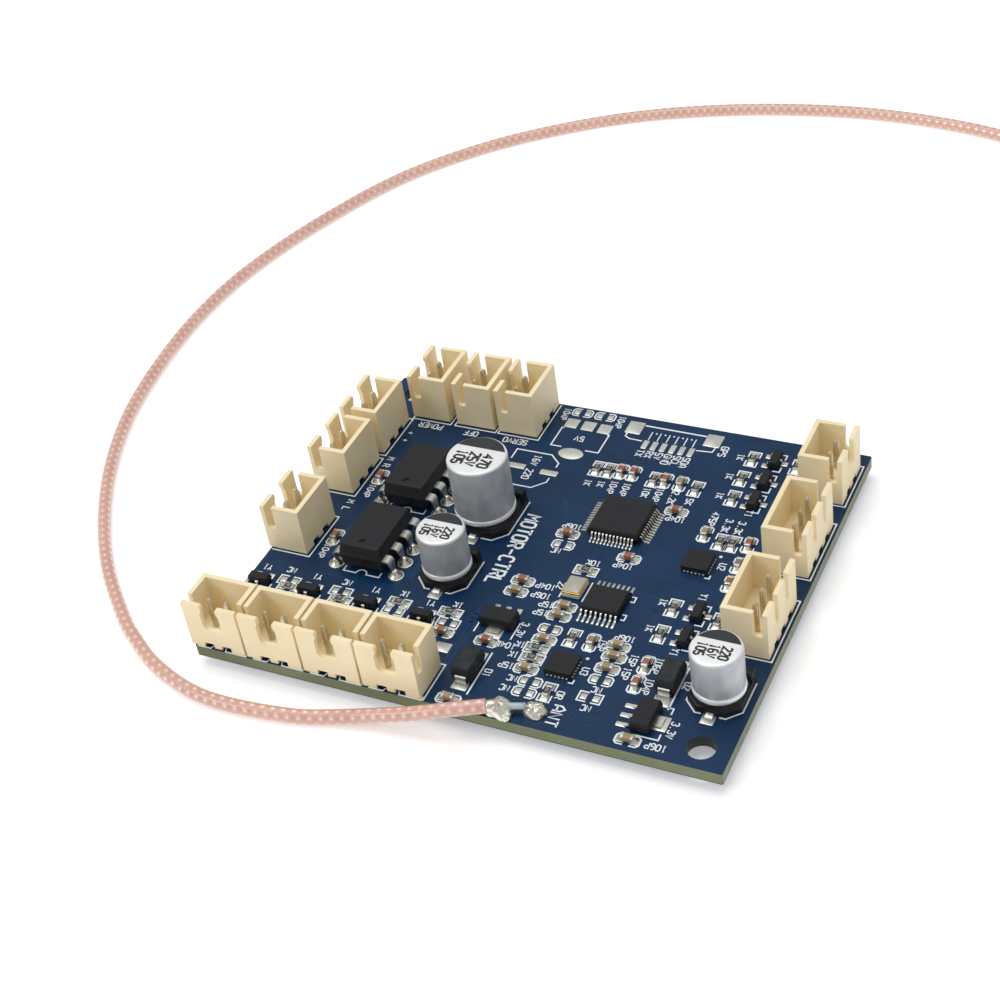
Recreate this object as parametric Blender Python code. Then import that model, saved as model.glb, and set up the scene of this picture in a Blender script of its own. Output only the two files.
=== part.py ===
"""Motor and radio receiver board with plug headers and a coaxial aerial lead.

A glass-fibre board, 69.5 x 58 mm, carries thirteen shrouded two- and three-way
headers along its edges, three surface-mounted electrolytic capacitors, two
eight-leg motor drivers, the controller and its smaller chips, and a thin coaxial
lead soldered at the front edge. The board stands on the tails of its pins.

+X runs along the front edge, +Y to the back, +Z up. The origin is on the table,
under the middle of the outline of the board and its overhanging headers.
"""
import math

import bpy
import bmesh
from mathutils import Matrix, Vector

MM = 0.001
GAP = 0.3 * MM                 # air between pieces that rest on each other

# ---- board -----------------------------------------------------------------
BOARD_L = 69.5 * MM            # along X
BOARD_W = 58.0 * MM            # along Y
BOARD_T = 1.6 * MM
BOARD_CORNER_R = 0.25 * MM
TAIL = 1.5 * MM                # pin tails below the board, which it stands on
HOLE_D = 3.5 * MM
HOLE_EDGE_X = 3.6 * MM         # mounting holes, from the short edges
HOLE_EDGE_Y = 3.15 * MM        # and from the long edges

# ---- plug headers ----------------------------------------------------------
PIN_PITCH = 2.5 * MM
HEADER_END = 2.65 * MM         # from the last pin to the end of the housing
HEADER_FRONT = 2.35 * MM       # from the pin row to the slotted wall's face
HEADER_REAR = 3.4 * MM         # from the pin row to the plain wall's face
HEADER_H = 7.0 * MM            # rim above the board
HEADER_WALL = 0.65 * MM
HEADER_FLOOR_Z = 0.9 * MM      # under side of the floor, above the board
HEADER_FLOOR_T = 0.9 * MM
WINDOW_W = 2.7 * MM            # opening in a two-way header's slotted wall
SLOT_W = 1.15 * MM             # each opening in a three-way header's wall
WINDOW_Z = 3.1 * MM            # bottom of those openings, above the board
SIDE_SLOT_W = 1.15 * MM
SIDE_SLOT_Z = 3.4 * MM
FOOT_NOTCH_W = 1.4 * MM
FOOT_NOTCH_H = 0.6 * MM
PIN_W = 0.64 * MM
PIN_TOP = 6.3 * MM             # tip above the board
PIN_TIP = 0.3 * MM             # length of the tapered tip
PIN_CLEARANCE = 0.3 * MM       # hole in a header's floor, all round a pin
LEAD_HOLE_CLEARANCE = 0.2 * MM  # drilled hole, round the corners of a lead
PIN_BRIDGE_T = 0.3 * MM        # strip that joins a header's pins, under its floor

FRONT_ROW_OUT = 0.45            # how far the front row stands out over the left edge
FRONT_ROW_GAP = 0.35            # between the housings of the front row


def header_length(ways):
    return (ways - 1) * PIN_PITCH + 2 * HEADER_END


def front_row_x(k):
    """Middle of the front row's housing k, in millimetres from the left edge."""
    length = header_length(2) / MM
    return -FRONT_ROW_OUT + length / 2 + k * (length + FRONT_ROW_GAP)


# Where each header's pin row is centred: ways, x, y and the side its slotted wall
# faces. A negative x or y is measured from the right or the back edge.
HEADERS = {
    **{f"header_front_{k + 1}": (2, front_row_x(k), 2.55, "front") for k in range(4)},
    "header_left_1": (2, 2.05, 23.20, "left"),
    "header_left_2": (2, 2.05, 36.00, "left"),
    "header_left_3": (2, 2.05, 45.10, "left"),
    "header_back_1": (2, 8.05, -4.10, "left"),
    "header_back_2": (2, 15.00, -4.10, "left"),
    "header_back_3": (2, 21.45, -4.10, "left"),
    "header_right_1": (3, -3.10, 23.60, "right"),
    "header_right_2": (3, -3.10, 38.30, "right"),
    "header_right_3": (2, -3.10, -6.60, "right"),
}
FACING = {"front": 0.0, "right": math.pi / 2, "left": -math.pi / 2}

# ---- electrolytic capacitors -----------------------------------------------
# Name: can diameter, height above the board, base side, x, y.
CAPACITORS = {
    "capacitor_large": (8.0, 10.2, 8.3, 25.20, 33.00),
    "capacitor_small_1": (6.3, 7.7, 6.6, 25.30, 21.30),
    "capacitor_small_2": (6.3, 7.7, 6.6, -4.35, 11.45),
}
CAN_NECK = 0.45 * MM           # how far the can's foot turns in
CAN_NECK_H = 0.7 * MM
CAN_EDGE = 0.35 * MM           # rounding of its top edge
CAP_BASE_T = 0.9 * MM
CAP_BASE_CUT = 1.5 * MM        # chamfer of the base's two front corners
CAP_TAB_W = 0.9 * MM
CAP_TAB_OUT = 0.7 * MM
CAP_TAB_T = 0.2 * MM

# ---- chip packages ---------------------------------------------------------
# Moulded bodies: size along X and Y, top above the board.
LEG_T = 0.2 * MM
DRIVER = dict(size=(6.4, 9.4), top=4.3, seat=0.8, pitch=2.54, legs=4,
              shoulder=4.0, foot=4.35, leg_w=0.8)
DRIVERS = {"motor_driver_1": (14.45, 22.80), "motor_driver_2": (14.35, 35.50)}
CONTROLLER = dict(size=(7.0, 7.0), top=1.5, pitch=0.5, leads=12, span=9.0, lead_w=0.22)
CONTROLLER_AT = (43.00, 36.60)
INTERFACE = dict(size=(5.0, 4.4), top=1.1, pitch=0.65, leads=8, span=6.4, lead_w=0.24)
INTERFACE_AT = (46.70, 21.75)
FLAT_CHIPS = {"radio_chip": (45.98, 10.10), "amplifier_chip": (55.10, 31.75)}
FLAT_CHIP_SIDE = 3.5 * MM
FLAT_CHIP_TOP = 1.0 * MM
CRYSTAL_AT = (42.05, 23.10)
CRYSTAL = (2.5, 3.2, 1.0)
REGULATOR = dict(size=(4.5, 2.5), top=1.6, pitch=1.5, lead_w=0.45, reach=2.2,
                 tab_w=1.7, tab_reach=2.0)
REGULATORS = {"regulator_1": (35.40, 15.00, 0.0), "regulator_2": (58.50, 5.20, math.pi / 2)}
DIODE = dict(size=(2.6, 4.3), top=2.3, lead_w=1.45, reach=2.65)
DIODES = {"diode_1": (35.37, 6.30), "diode_2": (59.10, 11.60)}
TRANSISTOR = dict(size=(1.3, 2.9), top=1.15, pitch=1.9, lead_w=0.42, reach=1.2)
TRANSISTORS = {
    "transistor_1": (2.00, 12.95, -math.pi / 2),
    "transistor_2": (9.30, 12.95, -math.pi / 2),
    "transistor_3": (17.70, 12.95, -math.pi / 2),
    "transistor_4": (25.60, 12.95, -math.pi / 2),
    "transistor_5": (58.20, 18.75, 0.0),
    "transistor_6": (58.20, 23.20, 0.0),
    "transistor_7": (57.90, 44.80, 0.0),
    "transistor_8": (57.90, 49.00, 0.0),
    "transistor_9": (57.90, 53.40, 0.0),
}

# ---- coaxial aerial lead ---------------------------------------------------
CORD_D = 1.8 * MM
DIELECTRIC_D = 0.84 * MM
CORE_D = 0.3 * MM
BRAID_AT = (41.90, 1.15)       # solder that holds the braid
BRAID_SIZE = (3.2, 2.5, 1.7)
CORE_AT = (45.80, 2.40)        # solder that holds the core
CORE_SIZE = (2.1, 2.0, 1.1)
CORD_HEIGHT = 1.0 * MM         # lead's middle above the board at the solder

# The lead's route, from its cut end at the solder: over the front edge, down to the
# table and round the back of the board. Millimetres from the board's front left
# corner, z is the height of the lead's middle above the table.
CORD_POINTS = (
    (39.925, 0.40, 4.35), (36.525, -1.10, 4.20), (31.625, -2.20, 3.05),
    (26.325, -2.90, 1.75), (21.325, -4.00, 1.05), (16.325, -5.20, 0.90),
    (8.225, -5.90, 0.90), (2.025, -5.30, 0.90), (-4.775, -2.80, 0.90), (-9.775, 0.30, 0.90),
    (-14.275, 3.80, 0.90), (-22.075, 11.60, 0.90), (-28.675, 20.50, 0.90),
    (-34.275, 30.40, 0.90), (-38.575, 41.40, 0.90), (-41.175, 53.80, 0.90),
    (-42.275, 67.40, 0.90), (-41.075, 81.00, 0.90), (-36.775, 96.50, 0.90),
    (-29.675, 112.70, 0.90), (-19.975, 125.10, 0.90), (-8.675, 134.50, 0.90),
    (3.625, 141.60, 0.90), (16.825, 146.30, 0.90), (30.425, 149.10, 0.90),
    (44.225, 150.00, 0.90), (58.125, 148.60, 0.90), (69.025, 145.50, 0.90),
    (78.025, 140.30, 0.90), (84.525, 133.20, 0.90), (88.125, 126.00, 1.20),
    (89.525, 119.60, 2.40), (89.825, 113.60, 3.60), (89.925, 109.00, 4.00),
)
CORD_STEP = 2.5 * CORD_D       # spacing of the tube's points
PLUG_BODY = (6.2, 5.0)         # far end: crimp barrel and screw shell, length and diameter
PLUG_NUT = (5.5, 8.0)          # coupling nut, length and width across flats


def srgb(r, g, b):
    """Linear colour of an 8-bit display colour."""
    return tuple(((c / 255 + 0.055) / 1.055) ** 2.4 if c > 10 else c / 255 / 12.92
                 for c in (r, g, b)) + (1.0,)


MATERIALS = {
    "board_mask": (srgb(34, 58, 98), 0.35, 0.0),
    "header_nylon": (srgb(236, 218, 172), 0.45, 0.0),
    "tin": (srgb(200, 200, 196), 0.3, 1.0),
    "aluminium": (srgb(190, 192, 194), 0.35, 1.0),
    "base_plastic": (srgb(24, 24, 26), 0.5, 0.0),
    "mould_compound": (srgb(30, 30, 32), 0.55, 0.0),
    "crystal_lid": (srgb(190, 180, 160), 0.3, 1.0),
    "solder": (srgb(200, 200, 195), 0.3, 1.0),
    "dielectric": (srgb(215, 220, 225), 0.35, 0.0),
    "cord_jacket": (srgb(205, 155, 135), 0.3, 0.0),
    "gold": (srgb(205, 165, 90), 0.25, 1.0),
}


# ---- helpers ---------------------------------------------------------------
def material(name):
    """Principled material of that name, made once."""
    if name in bpy.data.materials:
        return bpy.data.materials[name]
    colour, roughness, metallic = MATERIALS[name]
    mat = bpy.data.materials.new(name)
    mat.use_nodes = True
    shader = mat.node_tree.nodes["Principled BSDF"]
    shader.inputs["Base Color"].default_value = colour
    shader.inputs["Roughness"].default_value = roughness
    shader.inputs["Metallic"].default_value = metallic
    return mat


def mesh_of(name, build):
    """Mesh filled by build(bm)."""
    bm = bmesh.new()
    build(bm)
    bmesh.ops.recalc_face_normals(bm, faces=bm.faces)
    mesh = bpy.data.meshes.new(name)
    bm.to_mesh(mesh)
    bm.free()
    return mesh


def box(bm, x0, x1, y0, y1, z0, z1):
    """Adds a closed box between the given sides."""
    verts = bmesh.ops.create_cube(bm, size=1.0)["verts"]
    bmesh.ops.scale(bm, vec=(x1 - x0, y1 - y0, z1 - z0), verts=verts)
    bmesh.ops.translate(bm, vec=((x0 + x1) / 2, (y0 + y1) / 2, (z0 + z1) / 2), verts=verts)
    return verts


def prism(bm, outline, start, depth):
    """Adds the outline, a list of points in one plane, extruded by the vector depth."""
    face = bm.faces.new([bm.verts.new(Vector(start) + Vector(p)) for p in outline])
    extruded = bmesh.ops.extrude_face_region(bm, geom=[face])["geom"]
    verts = [v for v in extruded if isinstance(v, bmesh.types.BMVert)]
    bmesh.ops.translate(bm, vec=depth, verts=verts)


def loft(bm, rings):
    """Adds a closed body through rings of equal point count, the ends filled."""
    loops = [[bm.verts.new(p) for p in ring] for ring in rings]
    for low, high in zip(loops, loops[1:]):
        for i, vert in enumerate(low):
            j = (i + 1) % len(low)
            bm.faces.new((vert, low[j], high[j], high[i]))
    bm.faces.new(loops[0][::-1])
    bm.faces.new(loops[-1])


def circle(radius, z, steps, centre=(0.0, 0.0)):
    """Points of a level circle."""
    return [(centre[0] + radius * math.cos(2 * math.pi * k / steps),
             centre[1] + radius * math.sin(2 * math.pi * k / steps), z) for k in range(steps)]


def rectangle(half_x, half_y, z):
    """Corners of a level rectangle about the Z axis."""
    return [(-half_x, -half_y, z), (half_x, -half_y, z), (half_x, half_y, z),
            (-half_x, half_y, z)]


def combine(name, base, other, operation):
    """Mesh of base joined with, or cut by, the mesh other."""
    base_obj = bpy.data.objects.new(name + "_base", base)
    tool_obj = bpy.data.objects.new(name + "_tool", other)
    tool_obj.hide_render = True
    tool_obj.display_type = "WIRE"
    for obj in (base_obj, tool_obj):
        bpy.context.collection.objects.link(obj)
    boolean = base_obj.modifiers.new("combine", "BOOLEAN")
    boolean.operation = operation
    boolean.solver = "EXACT"
    boolean.object = tool_obj
    graph = bpy.context.evaluated_depsgraph_get()
    mesh = bpy.data.meshes.new_from_object(base_obj.evaluated_get(graph))
    mesh.name = name
    for obj in (base_obj, tool_obj):
        bpy.data.objects.remove(obj, do_unlink=True)
    return mesh


def place(name, mesh, at=(0.0, 0.0, 0.0), turn=0.0, look="tin", smooth=False):
    """Object that shows the mesh at a place, turned about Z."""
    obj = bpy.data.objects.new(name, mesh)
    obj.matrix_world = Matrix.Translation(at) @ Matrix.Rotation(turn, 4, "Z")
    bpy.context.collection.objects.link(obj)
    if not mesh.materials:
        mesh.materials.append(material(look))
    if smooth:
        mesh.shade_smooth()
        mesh.set_sharp_from_angle(angle=math.radians(40))
    return obj


# ---- places ----------------------------------------------------------------
def pin_offsets(ways):
    return [(k - (ways - 1) / 2) * PIN_PITCH for k in range(ways)]


def left_overhang():
    """How far the first front or left header stands out over the board's left edge."""
    reach = {"front": header_length(2) / 2, "left": HEADER_FRONT}
    return max(reach[side] - x * MM for _, x, _, side in HEADERS.values()
               if side in reach and x >= 0)


BOARD_TOP = TAIL + BOARD_T
CENTRE_X = (BOARD_L - left_overhang()) / 2
CENTRE_Y = BOARD_W / 2


def spot(x, y):
    """Board place in metres about the origin. A negative number counts from the far edge."""
    from_left = x * MM if x >= 0 else BOARD_L + x * MM
    from_front = y * MM if y >= 0 else BOARD_W + y * MM
    return Vector((from_left - CENTRE_X, from_front - CENTRE_Y, BOARD_TOP))


def driver_leg_offsets():
    """Where a driver's eight legs meet the board, about its middle."""
    rows = [(k - (DRIVER["legs"] - 1) / 2) * DRIVER["pitch"] * MM for k in range(DRIVER["legs"])]
    return [(side * DRIVER["foot"] * MM, y) for side in (-1, 1) for y in rows]


# ---- board -----------------------------------------------------------------
def rounded_outline(half_x, half_y, radius, steps=4):
    """Rectangle with round corners, in the XY plane."""
    points = []
    for quarter, (sx, sy) in enumerate(((1, 1), (-1, 1), (-1, -1), (1, -1))):
        for k in range(steps + 1):
            angle = math.pi / 2 * (quarter + k / steps)
            points.append((sx * (half_x - radius) + radius * math.cos(angle),
                           sy * (half_y - radius) + radius * math.sin(angle), 0.0))
    return points


def build_board():
    """Plate with its two mounting holes and a drilled hole for each lead."""
    middle = Vector((BOARD_L / 2 - CENTRE_X, 0.0, TAIL))
    plate = mesh_of("board_plate", lambda bm: prism(
        bm, rounded_outline(BOARD_L / 2, BOARD_W / 2, BOARD_CORNER_R), middle, (0, 0, BOARD_T)))
    holes = [(mounting_hole(k), HOLE_D / 2, 32) for k in (0, 1)]
    pin_hole = PIN_W / 2 * math.sqrt(2) + LEAD_HOLE_CLEARANCE
    for ways, x, y, side in HEADERS.values():
        turn = Matrix.Rotation(FACING[side], 3, "Z")
        holes += [(spot(x, y) + turn @ Vector((dx, 0, 0)), pin_hole, 10)
                  for dx in pin_offsets(ways)]
    leg_hole = DRIVER["leg_w"] * MM / 4 + LEG_T / 2 + LEAD_HOLE_CLEARANCE
    for x, y in DRIVERS.values():
        holes += [(spot(x, y) + Vector((dx, dy, 0)), leg_hole, 10)
                  for dx, dy in driver_leg_offsets()]

    def drill(bm):
        for centre, radius, steps in holes:
            loft(bm, [circle(radius, z, steps, centre) for z in (TAIL - MM, BOARD_TOP + MM)])

    board = combine("circuit_board", plate, mesh_of("board_drill", drill), "DIFFERENCE")
    place("circuit_board", board, look="board_mask")


def mounting_hole(which):
    """Centre of the front right (0) or the back left (1) mounting hole."""
    if which == 0:
        return spot(-HOLE_EDGE_X / MM, HOLE_EDGE_Y / MM)
    return spot(HOLE_EDGE_X / MM, -HOLE_EDGE_Y / MM)


# ---- headers ---------------------------------------------------------------
def build_housing_mesh(ways):
    """Open-topped housing about its pin row, its slotted wall towards -Y."""
    half = header_length(ways) / 2
    front, rear = -HEADER_FRONT, HEADER_REAR
    floor_top = HEADER_FLOOR_Z + HEADER_FLOOR_T
    over = 2 * MM
    inner_half = half - HEADER_WALL
    inner_front, inner_rear = front + HEADER_WALL, rear - HEADER_WALL

    shell = mesh_of("housing_block", lambda bm: box(
        bm, -half, half, front, rear, GAP, HEADER_H))

    def cavities(bm):
        box(bm, -inner_half, inner_half, inner_front, inner_rear, floor_top, HEADER_H + over)
        box(bm, -inner_half, inner_half, inner_front, inner_rear, -over, HEADER_FLOOR_Z)

    def openings(bm):
        if ways == 2:
            centres, width = [0.0], WINDOW_W
        else:
            step = (header_length(ways) + SLOT_W) / ways
            centres = [(k - (ways - 2) / 2) * step for k in range(ways - 1)]
            width = SLOT_W
        for centre in centres:
            box(bm, centre - width / 2, centre + width / 2, front - over, inner_front + MM / 4,
                WINDOW_Z, HEADER_H + over)

    def side_slots(bm):
        for side in (-1, 1):
            x0, x1 = sorted((side * (half + over), side * (inner_half - MM / 4)))
            box(bm, x0, x1, inner_front, inner_front + SIDE_SLOT_W, SIDE_SLOT_Z, HEADER_H + over)

    def notches(bm):
        for dx in pin_offsets(ways):
            box(bm, dx - FOOT_NOTCH_W / 2, dx + FOOT_NOTCH_W / 2, front - over, rear + over,
                -over, GAP + FOOT_NOTCH_H)

    def pin_holes(bm):
        reach = PIN_W / 2 + PIN_CLEARANCE
        for dx in pin_offsets(ways):
            box(bm, dx - reach, dx + reach, -reach, reach, HEADER_FLOOR_Z - MM / 4,
                floor_top + MM / 4)

    mesh = shell
    for step, cut in enumerate((cavities, openings, side_slots, notches, pin_holes)):
        mesh = combine(f"housing_{ways}", mesh, mesh_of(f"housing_cut_{step}", cut), "DIFFERENCE")
    return mesh


def build_pins_mesh(ways):
    """Square pins with tapered tips, joined by a strip under the housing's floor."""
    half = PIN_W / 2
    tip = half * 0.45
    bottom = -BOARD_TOP

    def pins(bm):
        for dx in pin_offsets(ways):
            rings = []
            for reach, z in ((tip, bottom), (half, bottom + PIN_TIP), (half, PIN_TOP - PIN_TIP),
                             (tip, PIN_TOP)):
                rings.append([(dx + sx * reach, sy * reach, z)
                              for sx, sy in ((-1, -1), (1, -1), (1, 1), (-1, 1))])
            loft(bm, rings)

    first, last = pin_offsets(ways)[0], pin_offsets(ways)[-1]
    strip = mesh_of("pin_strip", lambda bm: box(
        bm, first, last, -half * 0.8, half * 0.8, GAP, GAP + PIN_BRIDGE_T))
    return combine(f"pins_{ways}", mesh_of("pin_blanks", pins), strip, "UNION")


def build_headers():
    housings = {ways: build_housing_mesh(ways) for ways in (2, 3)}
    pins = {ways: build_pins_mesh(ways) for ways in (2, 3)}
    for name, (ways, x, y, side) in HEADERS.items():
        place(name, housings[ways], spot(x, y), FACING[side], "header_nylon")
        place(name + "_pins", pins[ways], spot(x, y), FACING[side], "tin")


# ---- capacitors ------------------------------------------------------------
def build_capacitor(name, diameter, height, side, x, y):
    """Aluminium can over a chamfered base with a tab at its front and back."""
    radius, top = diameter / 2 * MM, height * MM
    base_top = GAP + CAP_BASE_T
    can_bottom = base_top + GAP
    steps = 24 if diameter < 7 else 28
    profile = ((radius - CAN_NECK, can_bottom), (radius, can_bottom + CAN_NECK_H),
               (radius, top - CAN_EDGE), (radius - CAN_EDGE, top))
    can = mesh_of(name + "_can", lambda bm: loft(
        bm, [circle(r, z, steps) for r, z in profile]))
    place(name + "_can", can, spot(x, y), 0.0, "aluminium", smooth=True)

    half = side / 2 * MM
    cut = CAP_BASE_CUT
    outline = [(-half, half, 0), (-half, -half + cut, 0), (-half + cut, -half, 0),
               (half - cut, -half, 0), (half, -half + cut, 0), (half, half, 0)]
    base = mesh_of(name + "_block", lambda bm: prism(bm, outline, (0, 0, GAP), (0, 0, CAP_BASE_T)))

    def tabs(bm):
        for end in (-1, 1):
            y0, y1 = sorted((end * (half + CAP_TAB_OUT), end * (half - MM)))
            box(bm, -CAP_TAB_W / 2, CAP_TAB_W / 2, y0, y1, GAP + MM / 20,
                GAP + MM / 20 + CAP_TAB_T)

    base = combine(name + "_base", base, mesh_of(name + "_tabs", tabs), "UNION")
    place(name + "_base", base, spot(x, y), 0.0, "base_plastic")


# ---- chip packages ---------------------------------------------------------
def moulding(bm, size, seat, top, taper=0.12):
    """Moulded body that is widest at mid height."""
    half_x, half_y = size[0] / 2 * MM, size[1] / 2 * MM
    inset = taper * (top - seat) / 2 + MM / 20
    middle = (seat + top) / 2
    loft(bm, [rectangle(half_x - inset, half_y - inset, seat),
              rectangle(half_x, half_y, middle),
              rectangle(half_x - inset, half_y - inset, top)])


def gull_lead(bm, angle, along, edge, reach, exit_z, width, foot):
    """Bent strip from inside the body's edge out to a foot, on the side at that angle."""
    start = edge - MM / 3
    knee = edge + (reach - foot - edge) * 0.45
    heel = reach - foot
    low = GAP
    outline = [(start, exit_z + LEG_T / 2), (knee, exit_z + LEG_T / 2), (heel + LEG_T / 2, low + LEG_T),
               (reach, low + LEG_T), (reach, low), (heel - LEG_T / 3, low),
               (knee - LEG_T / 2, exit_z - LEG_T / 2), (start, exit_z - LEG_T / 2)]
    turn = Matrix.Rotation(angle, 3, "Z")
    points = [turn @ Vector((px, along - width / 2, pz)) for px, pz in outline]
    prism(bm, points, (0, 0, 0), turn @ Vector((0, width, 0)))


def leaded_package(name, size, top, leads, look="mould_compound", seat=None):
    """Mesh of a moulded body joined with its leads: (angle, along, edge, reach, width, foot)."""
    seat = GAP + MM / 10 if seat is None else seat
    body = mesh_of(name + "_body", lambda bm: moulding(bm, size, seat, top))
    exit_z = (seat + top) / 2

    def strips(bm):
        for angle, along, edge, reach, width, foot in leads:
            gull_lead(bm, angle, along, edge, reach, exit_z, width, foot)

    mesh = combine(name, body, mesh_of(name + "_leads", strips), "UNION")
    mesh.materials.clear()
    mesh.materials.append(material(look))
    return mesh


def even_row(count, pitch):
    return [(k - (count - 1) / 2) * pitch for k in range(count)]


def build_controller():
    spec = CONTROLLER
    half = spec["size"][0] / 2 * MM
    leads = [(quarter * math.pi / 2, along, half, spec["span"] / 2 * MM, spec["lead_w"] * MM,
              0.5 * MM)
             for quarter in range(4) for along in even_row(spec["leads"], spec["pitch"] * MM)]
    mesh = leaded_package("controller", spec["size"], spec["top"] * MM, leads)
    place("controller", mesh, spot(*CONTROLLER_AT))


def build_interface():
    spec = INTERFACE
    half = spec["size"][1] / 2 * MM
    leads = [(angle, along, half, spec["span"] / 2 * MM, spec["lead_w"] * MM, 0.5 * MM)
             for angle in (math.pi / 2, -math.pi / 2)
             for along in even_row(spec["leads"], spec["pitch"] * MM)]
    mesh = leaded_package("interface_chip", spec["size"], spec["top"] * MM, leads)
    place("interface_chip", mesh, spot(*INTERFACE_AT))


def build_drivers():
    """Bodies with eight legs that splay out and down through the board."""
    spec = DRIVER
    seat, top = spec["seat"] * MM, spec["top"] * MM
    shoulder, foot = spec["shoulder"] * MM, spec["foot"] * MM
    body = mesh_of("driver_body", lambda bm: moulding(bm, spec["size"], seat, top))
    exit_z = seat + (top - seat) / 2
    thick, wide, narrow = LEG_T * 1.25, spec["leg_w"] * MM, spec["leg_w"] * MM / 2

    def legs(bm):
        for side in (-1, 1):
            for y in even_row(spec["legs"], spec["pitch"] * MM):
                inside = spec["size"][0] / 2 * MM - MM / 2
                outline = [(inside, exit_z + thick / 2), (shoulder, exit_z + thick / 2),
                           (foot + thick / 2, -BOARD_T - TAIL / 2),
                           (foot - thick / 2, -BOARD_T - TAIL / 2),
                           (shoulder - thick, exit_z - thick / 2), (inside, exit_z - thick / 2)]
                points = [Vector((side * px, y - narrow / 2, pz)) for px, pz in outline]
                prism(bm, points, (0, 0, 0), (0, narrow, 0))

    mesh = combine("motor_driver", body, mesh_of("driver_legs", legs), "UNION")
    for name, (x, y) in DRIVERS.items():
        place(name, mesh, spot(x, y), 0.0, "mould_compound")


def build_small_packages():
    flat = mesh_of("flat_chip", lambda bm: box(
        bm, -FLAT_CHIP_SIDE / 2, FLAT_CHIP_SIDE / 2, -FLAT_CHIP_SIDE / 2, FLAT_CHIP_SIDE / 2,
        GAP, FLAT_CHIP_TOP))
    for name, (x, y) in FLAT_CHIPS.items():
        place(name, flat, spot(x, y), 0.0, "mould_compound")

    width, depth, top = (v * MM for v in CRYSTAL)
    crystal = mesh_of("crystal", lambda bm: box(
        bm, -width / 2, width / 2, -depth / 2, depth / 2, GAP, top))
    place("crystal", crystal, spot(*CRYSTAL_AT), 0.0, "crystal_lid")

    spec = REGULATOR
    half = spec["size"][1] / 2 * MM
    leads = [(math.pi / 2, along, half, spec["reach"] * MM, spec["lead_w"] * MM, 0.5 * MM)
             for along in even_row(3, spec["pitch"] * MM)]
    leads.append((-math.pi / 2, 0.0, half, spec["tab_reach"] * MM, spec["tab_w"] * MM, 0.4 * MM))
    regulator = leaded_package("regulator", spec["size"], spec["top"] * MM, leads)
    for name, (x, y, turn) in REGULATORS.items():
        place(name, regulator, spot(x, y), turn)

    spec = DIODE
    half = spec["size"][1] / 2 * MM
    leads = [(angle, 0.0, half, spec["reach"] * MM, spec["lead_w"] * MM, 0.3 * MM)
             for angle in (math.pi / 2, -math.pi / 2)]
    diode = leaded_package("diode", spec["size"], spec["top"] * MM, leads)
    for name, (x, y) in DIODES.items():
        place(name, diode, spot(x, y))

    spec = TRANSISTOR
    half = spec["size"][0] / 2 * MM
    pair = even_row(2, spec["pitch"] * MM)
    leads = [(math.pi, along, half, spec["reach"] * MM, spec["lead_w"] * MM, 0.3 * MM)
             for along in pair]
    leads.append((0.0, 0.0, half, spec["reach"] * MM, spec["lead_w"] * MM, 0.3 * MM))
    transistor = leaded_package("transistor", spec["size"], spec["top"] * MM, leads)
    for name, (x, y, turn) in TRANSISTORS.items():
        place(name, transistor, spot(x, y), turn)


# ---- coaxial lead ----------------------------------------------------------
def smooth_route(points, spacing):
    """Points at even spacing on a Catmull-Rom curve through the given points.

    None is lower than a lead that lies on the table.
    """
    pts = [Vector(p) * MM for p in points]
    pts = [2 * pts[0] - pts[1]] + pts + [2 * pts[-1] - pts[-2]]
    dense = []
    for p0, p1, p2, p3 in zip(pts, pts[1:], pts[2:], pts[3:]):
        for k in range(24):
            t = k / 24
            dense.append(0.5 * (2 * p1 + (p2 - p0) * t + (2 * p0 - 5 * p1 + 4 * p2 - p3) * t * t
                                + (3 * p1 - 3 * p2 + p3 - p0) * t ** 3))
    dense.append(pts[-2])
    lengths = [0.0]
    for a, b in zip(dense, dense[1:]):
        lengths.append(lengths[-1] + (b - a).length)
    count = max(2, round(lengths[-1] / spacing))
    route, i = [], 0
    for k in range(count + 1):
        target = lengths[-1] * k / count
        while i < len(dense) - 2 and lengths[i + 1] < target:
            i += 1
        part = (target - lengths[i]) / (lengths[i + 1] - lengths[i])
        where = dense[i].lerp(dense[i + 1], part)
        where.z = max(where.z, CORD_D / 2)
        route.append(where)
    return route


def dome(bm, size, z0, steps=12, rows=4):
    """Solder mound: half an ellipsoid on a flat foot, with a level cap."""
    half_x, half_y, height = size[0] / 2 * MM, size[1] / 2 * MM, size[2] * MM
    rings = []
    for k in range(rows):
        angle = math.pi / 2 * k / rows
        ring = circle(1.0, 0.0, steps)
        rings.append([(x * half_x * math.cos(angle), y * half_y * math.cos(angle),
                       z0 + height * math.sin(angle)) for x, y, _ in ring])
    loft(bm, rings)


def rod(bm, start, end, radius, steps=10):
    """Round rod between two points."""
    start, end = Vector(start), Vector(end)
    turn = (end - start).to_track_quat("Z", "Y").to_matrix()
    loft(bm, [[p + turn @ Vector(q) for q in circle(radius, 0.0, steps)] for p in (start, end)])


def build_lead_end():
    """Solder on the braid, the bare dielectric and the soldered core."""
    braid = spot(*BRAID_AT)
    core = spot(*CORE_AT)
    place("coax_braid_joint", mesh_of("coax_braid_joint", lambda bm: dome(
        bm, BRAID_SIZE, GAP)), braid, 0.0, "solder", smooth=True)

    height = Vector((0, 0, CORD_HEIGHT))
    start = braid + Vector((BRAID_SIZE[0] / 2 * MM + GAP, GAP, 0)) + height
    end = core - Vector((CORE_SIZE[0] / 2 * MM + GAP, GAP, 0)) + height
    place("coax_dielectric", mesh_of("coax_dielectric", lambda bm: rod(
        bm, start, end, DIELECTRIC_D / 2)), look="dielectric", smooth=True)
    place("coax_core_joint", mesh_of("coax_core_joint", lambda bm: dome(
        bm, CORE_SIZE, GAP)), core, 0.0, "solder", smooth=True)


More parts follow.
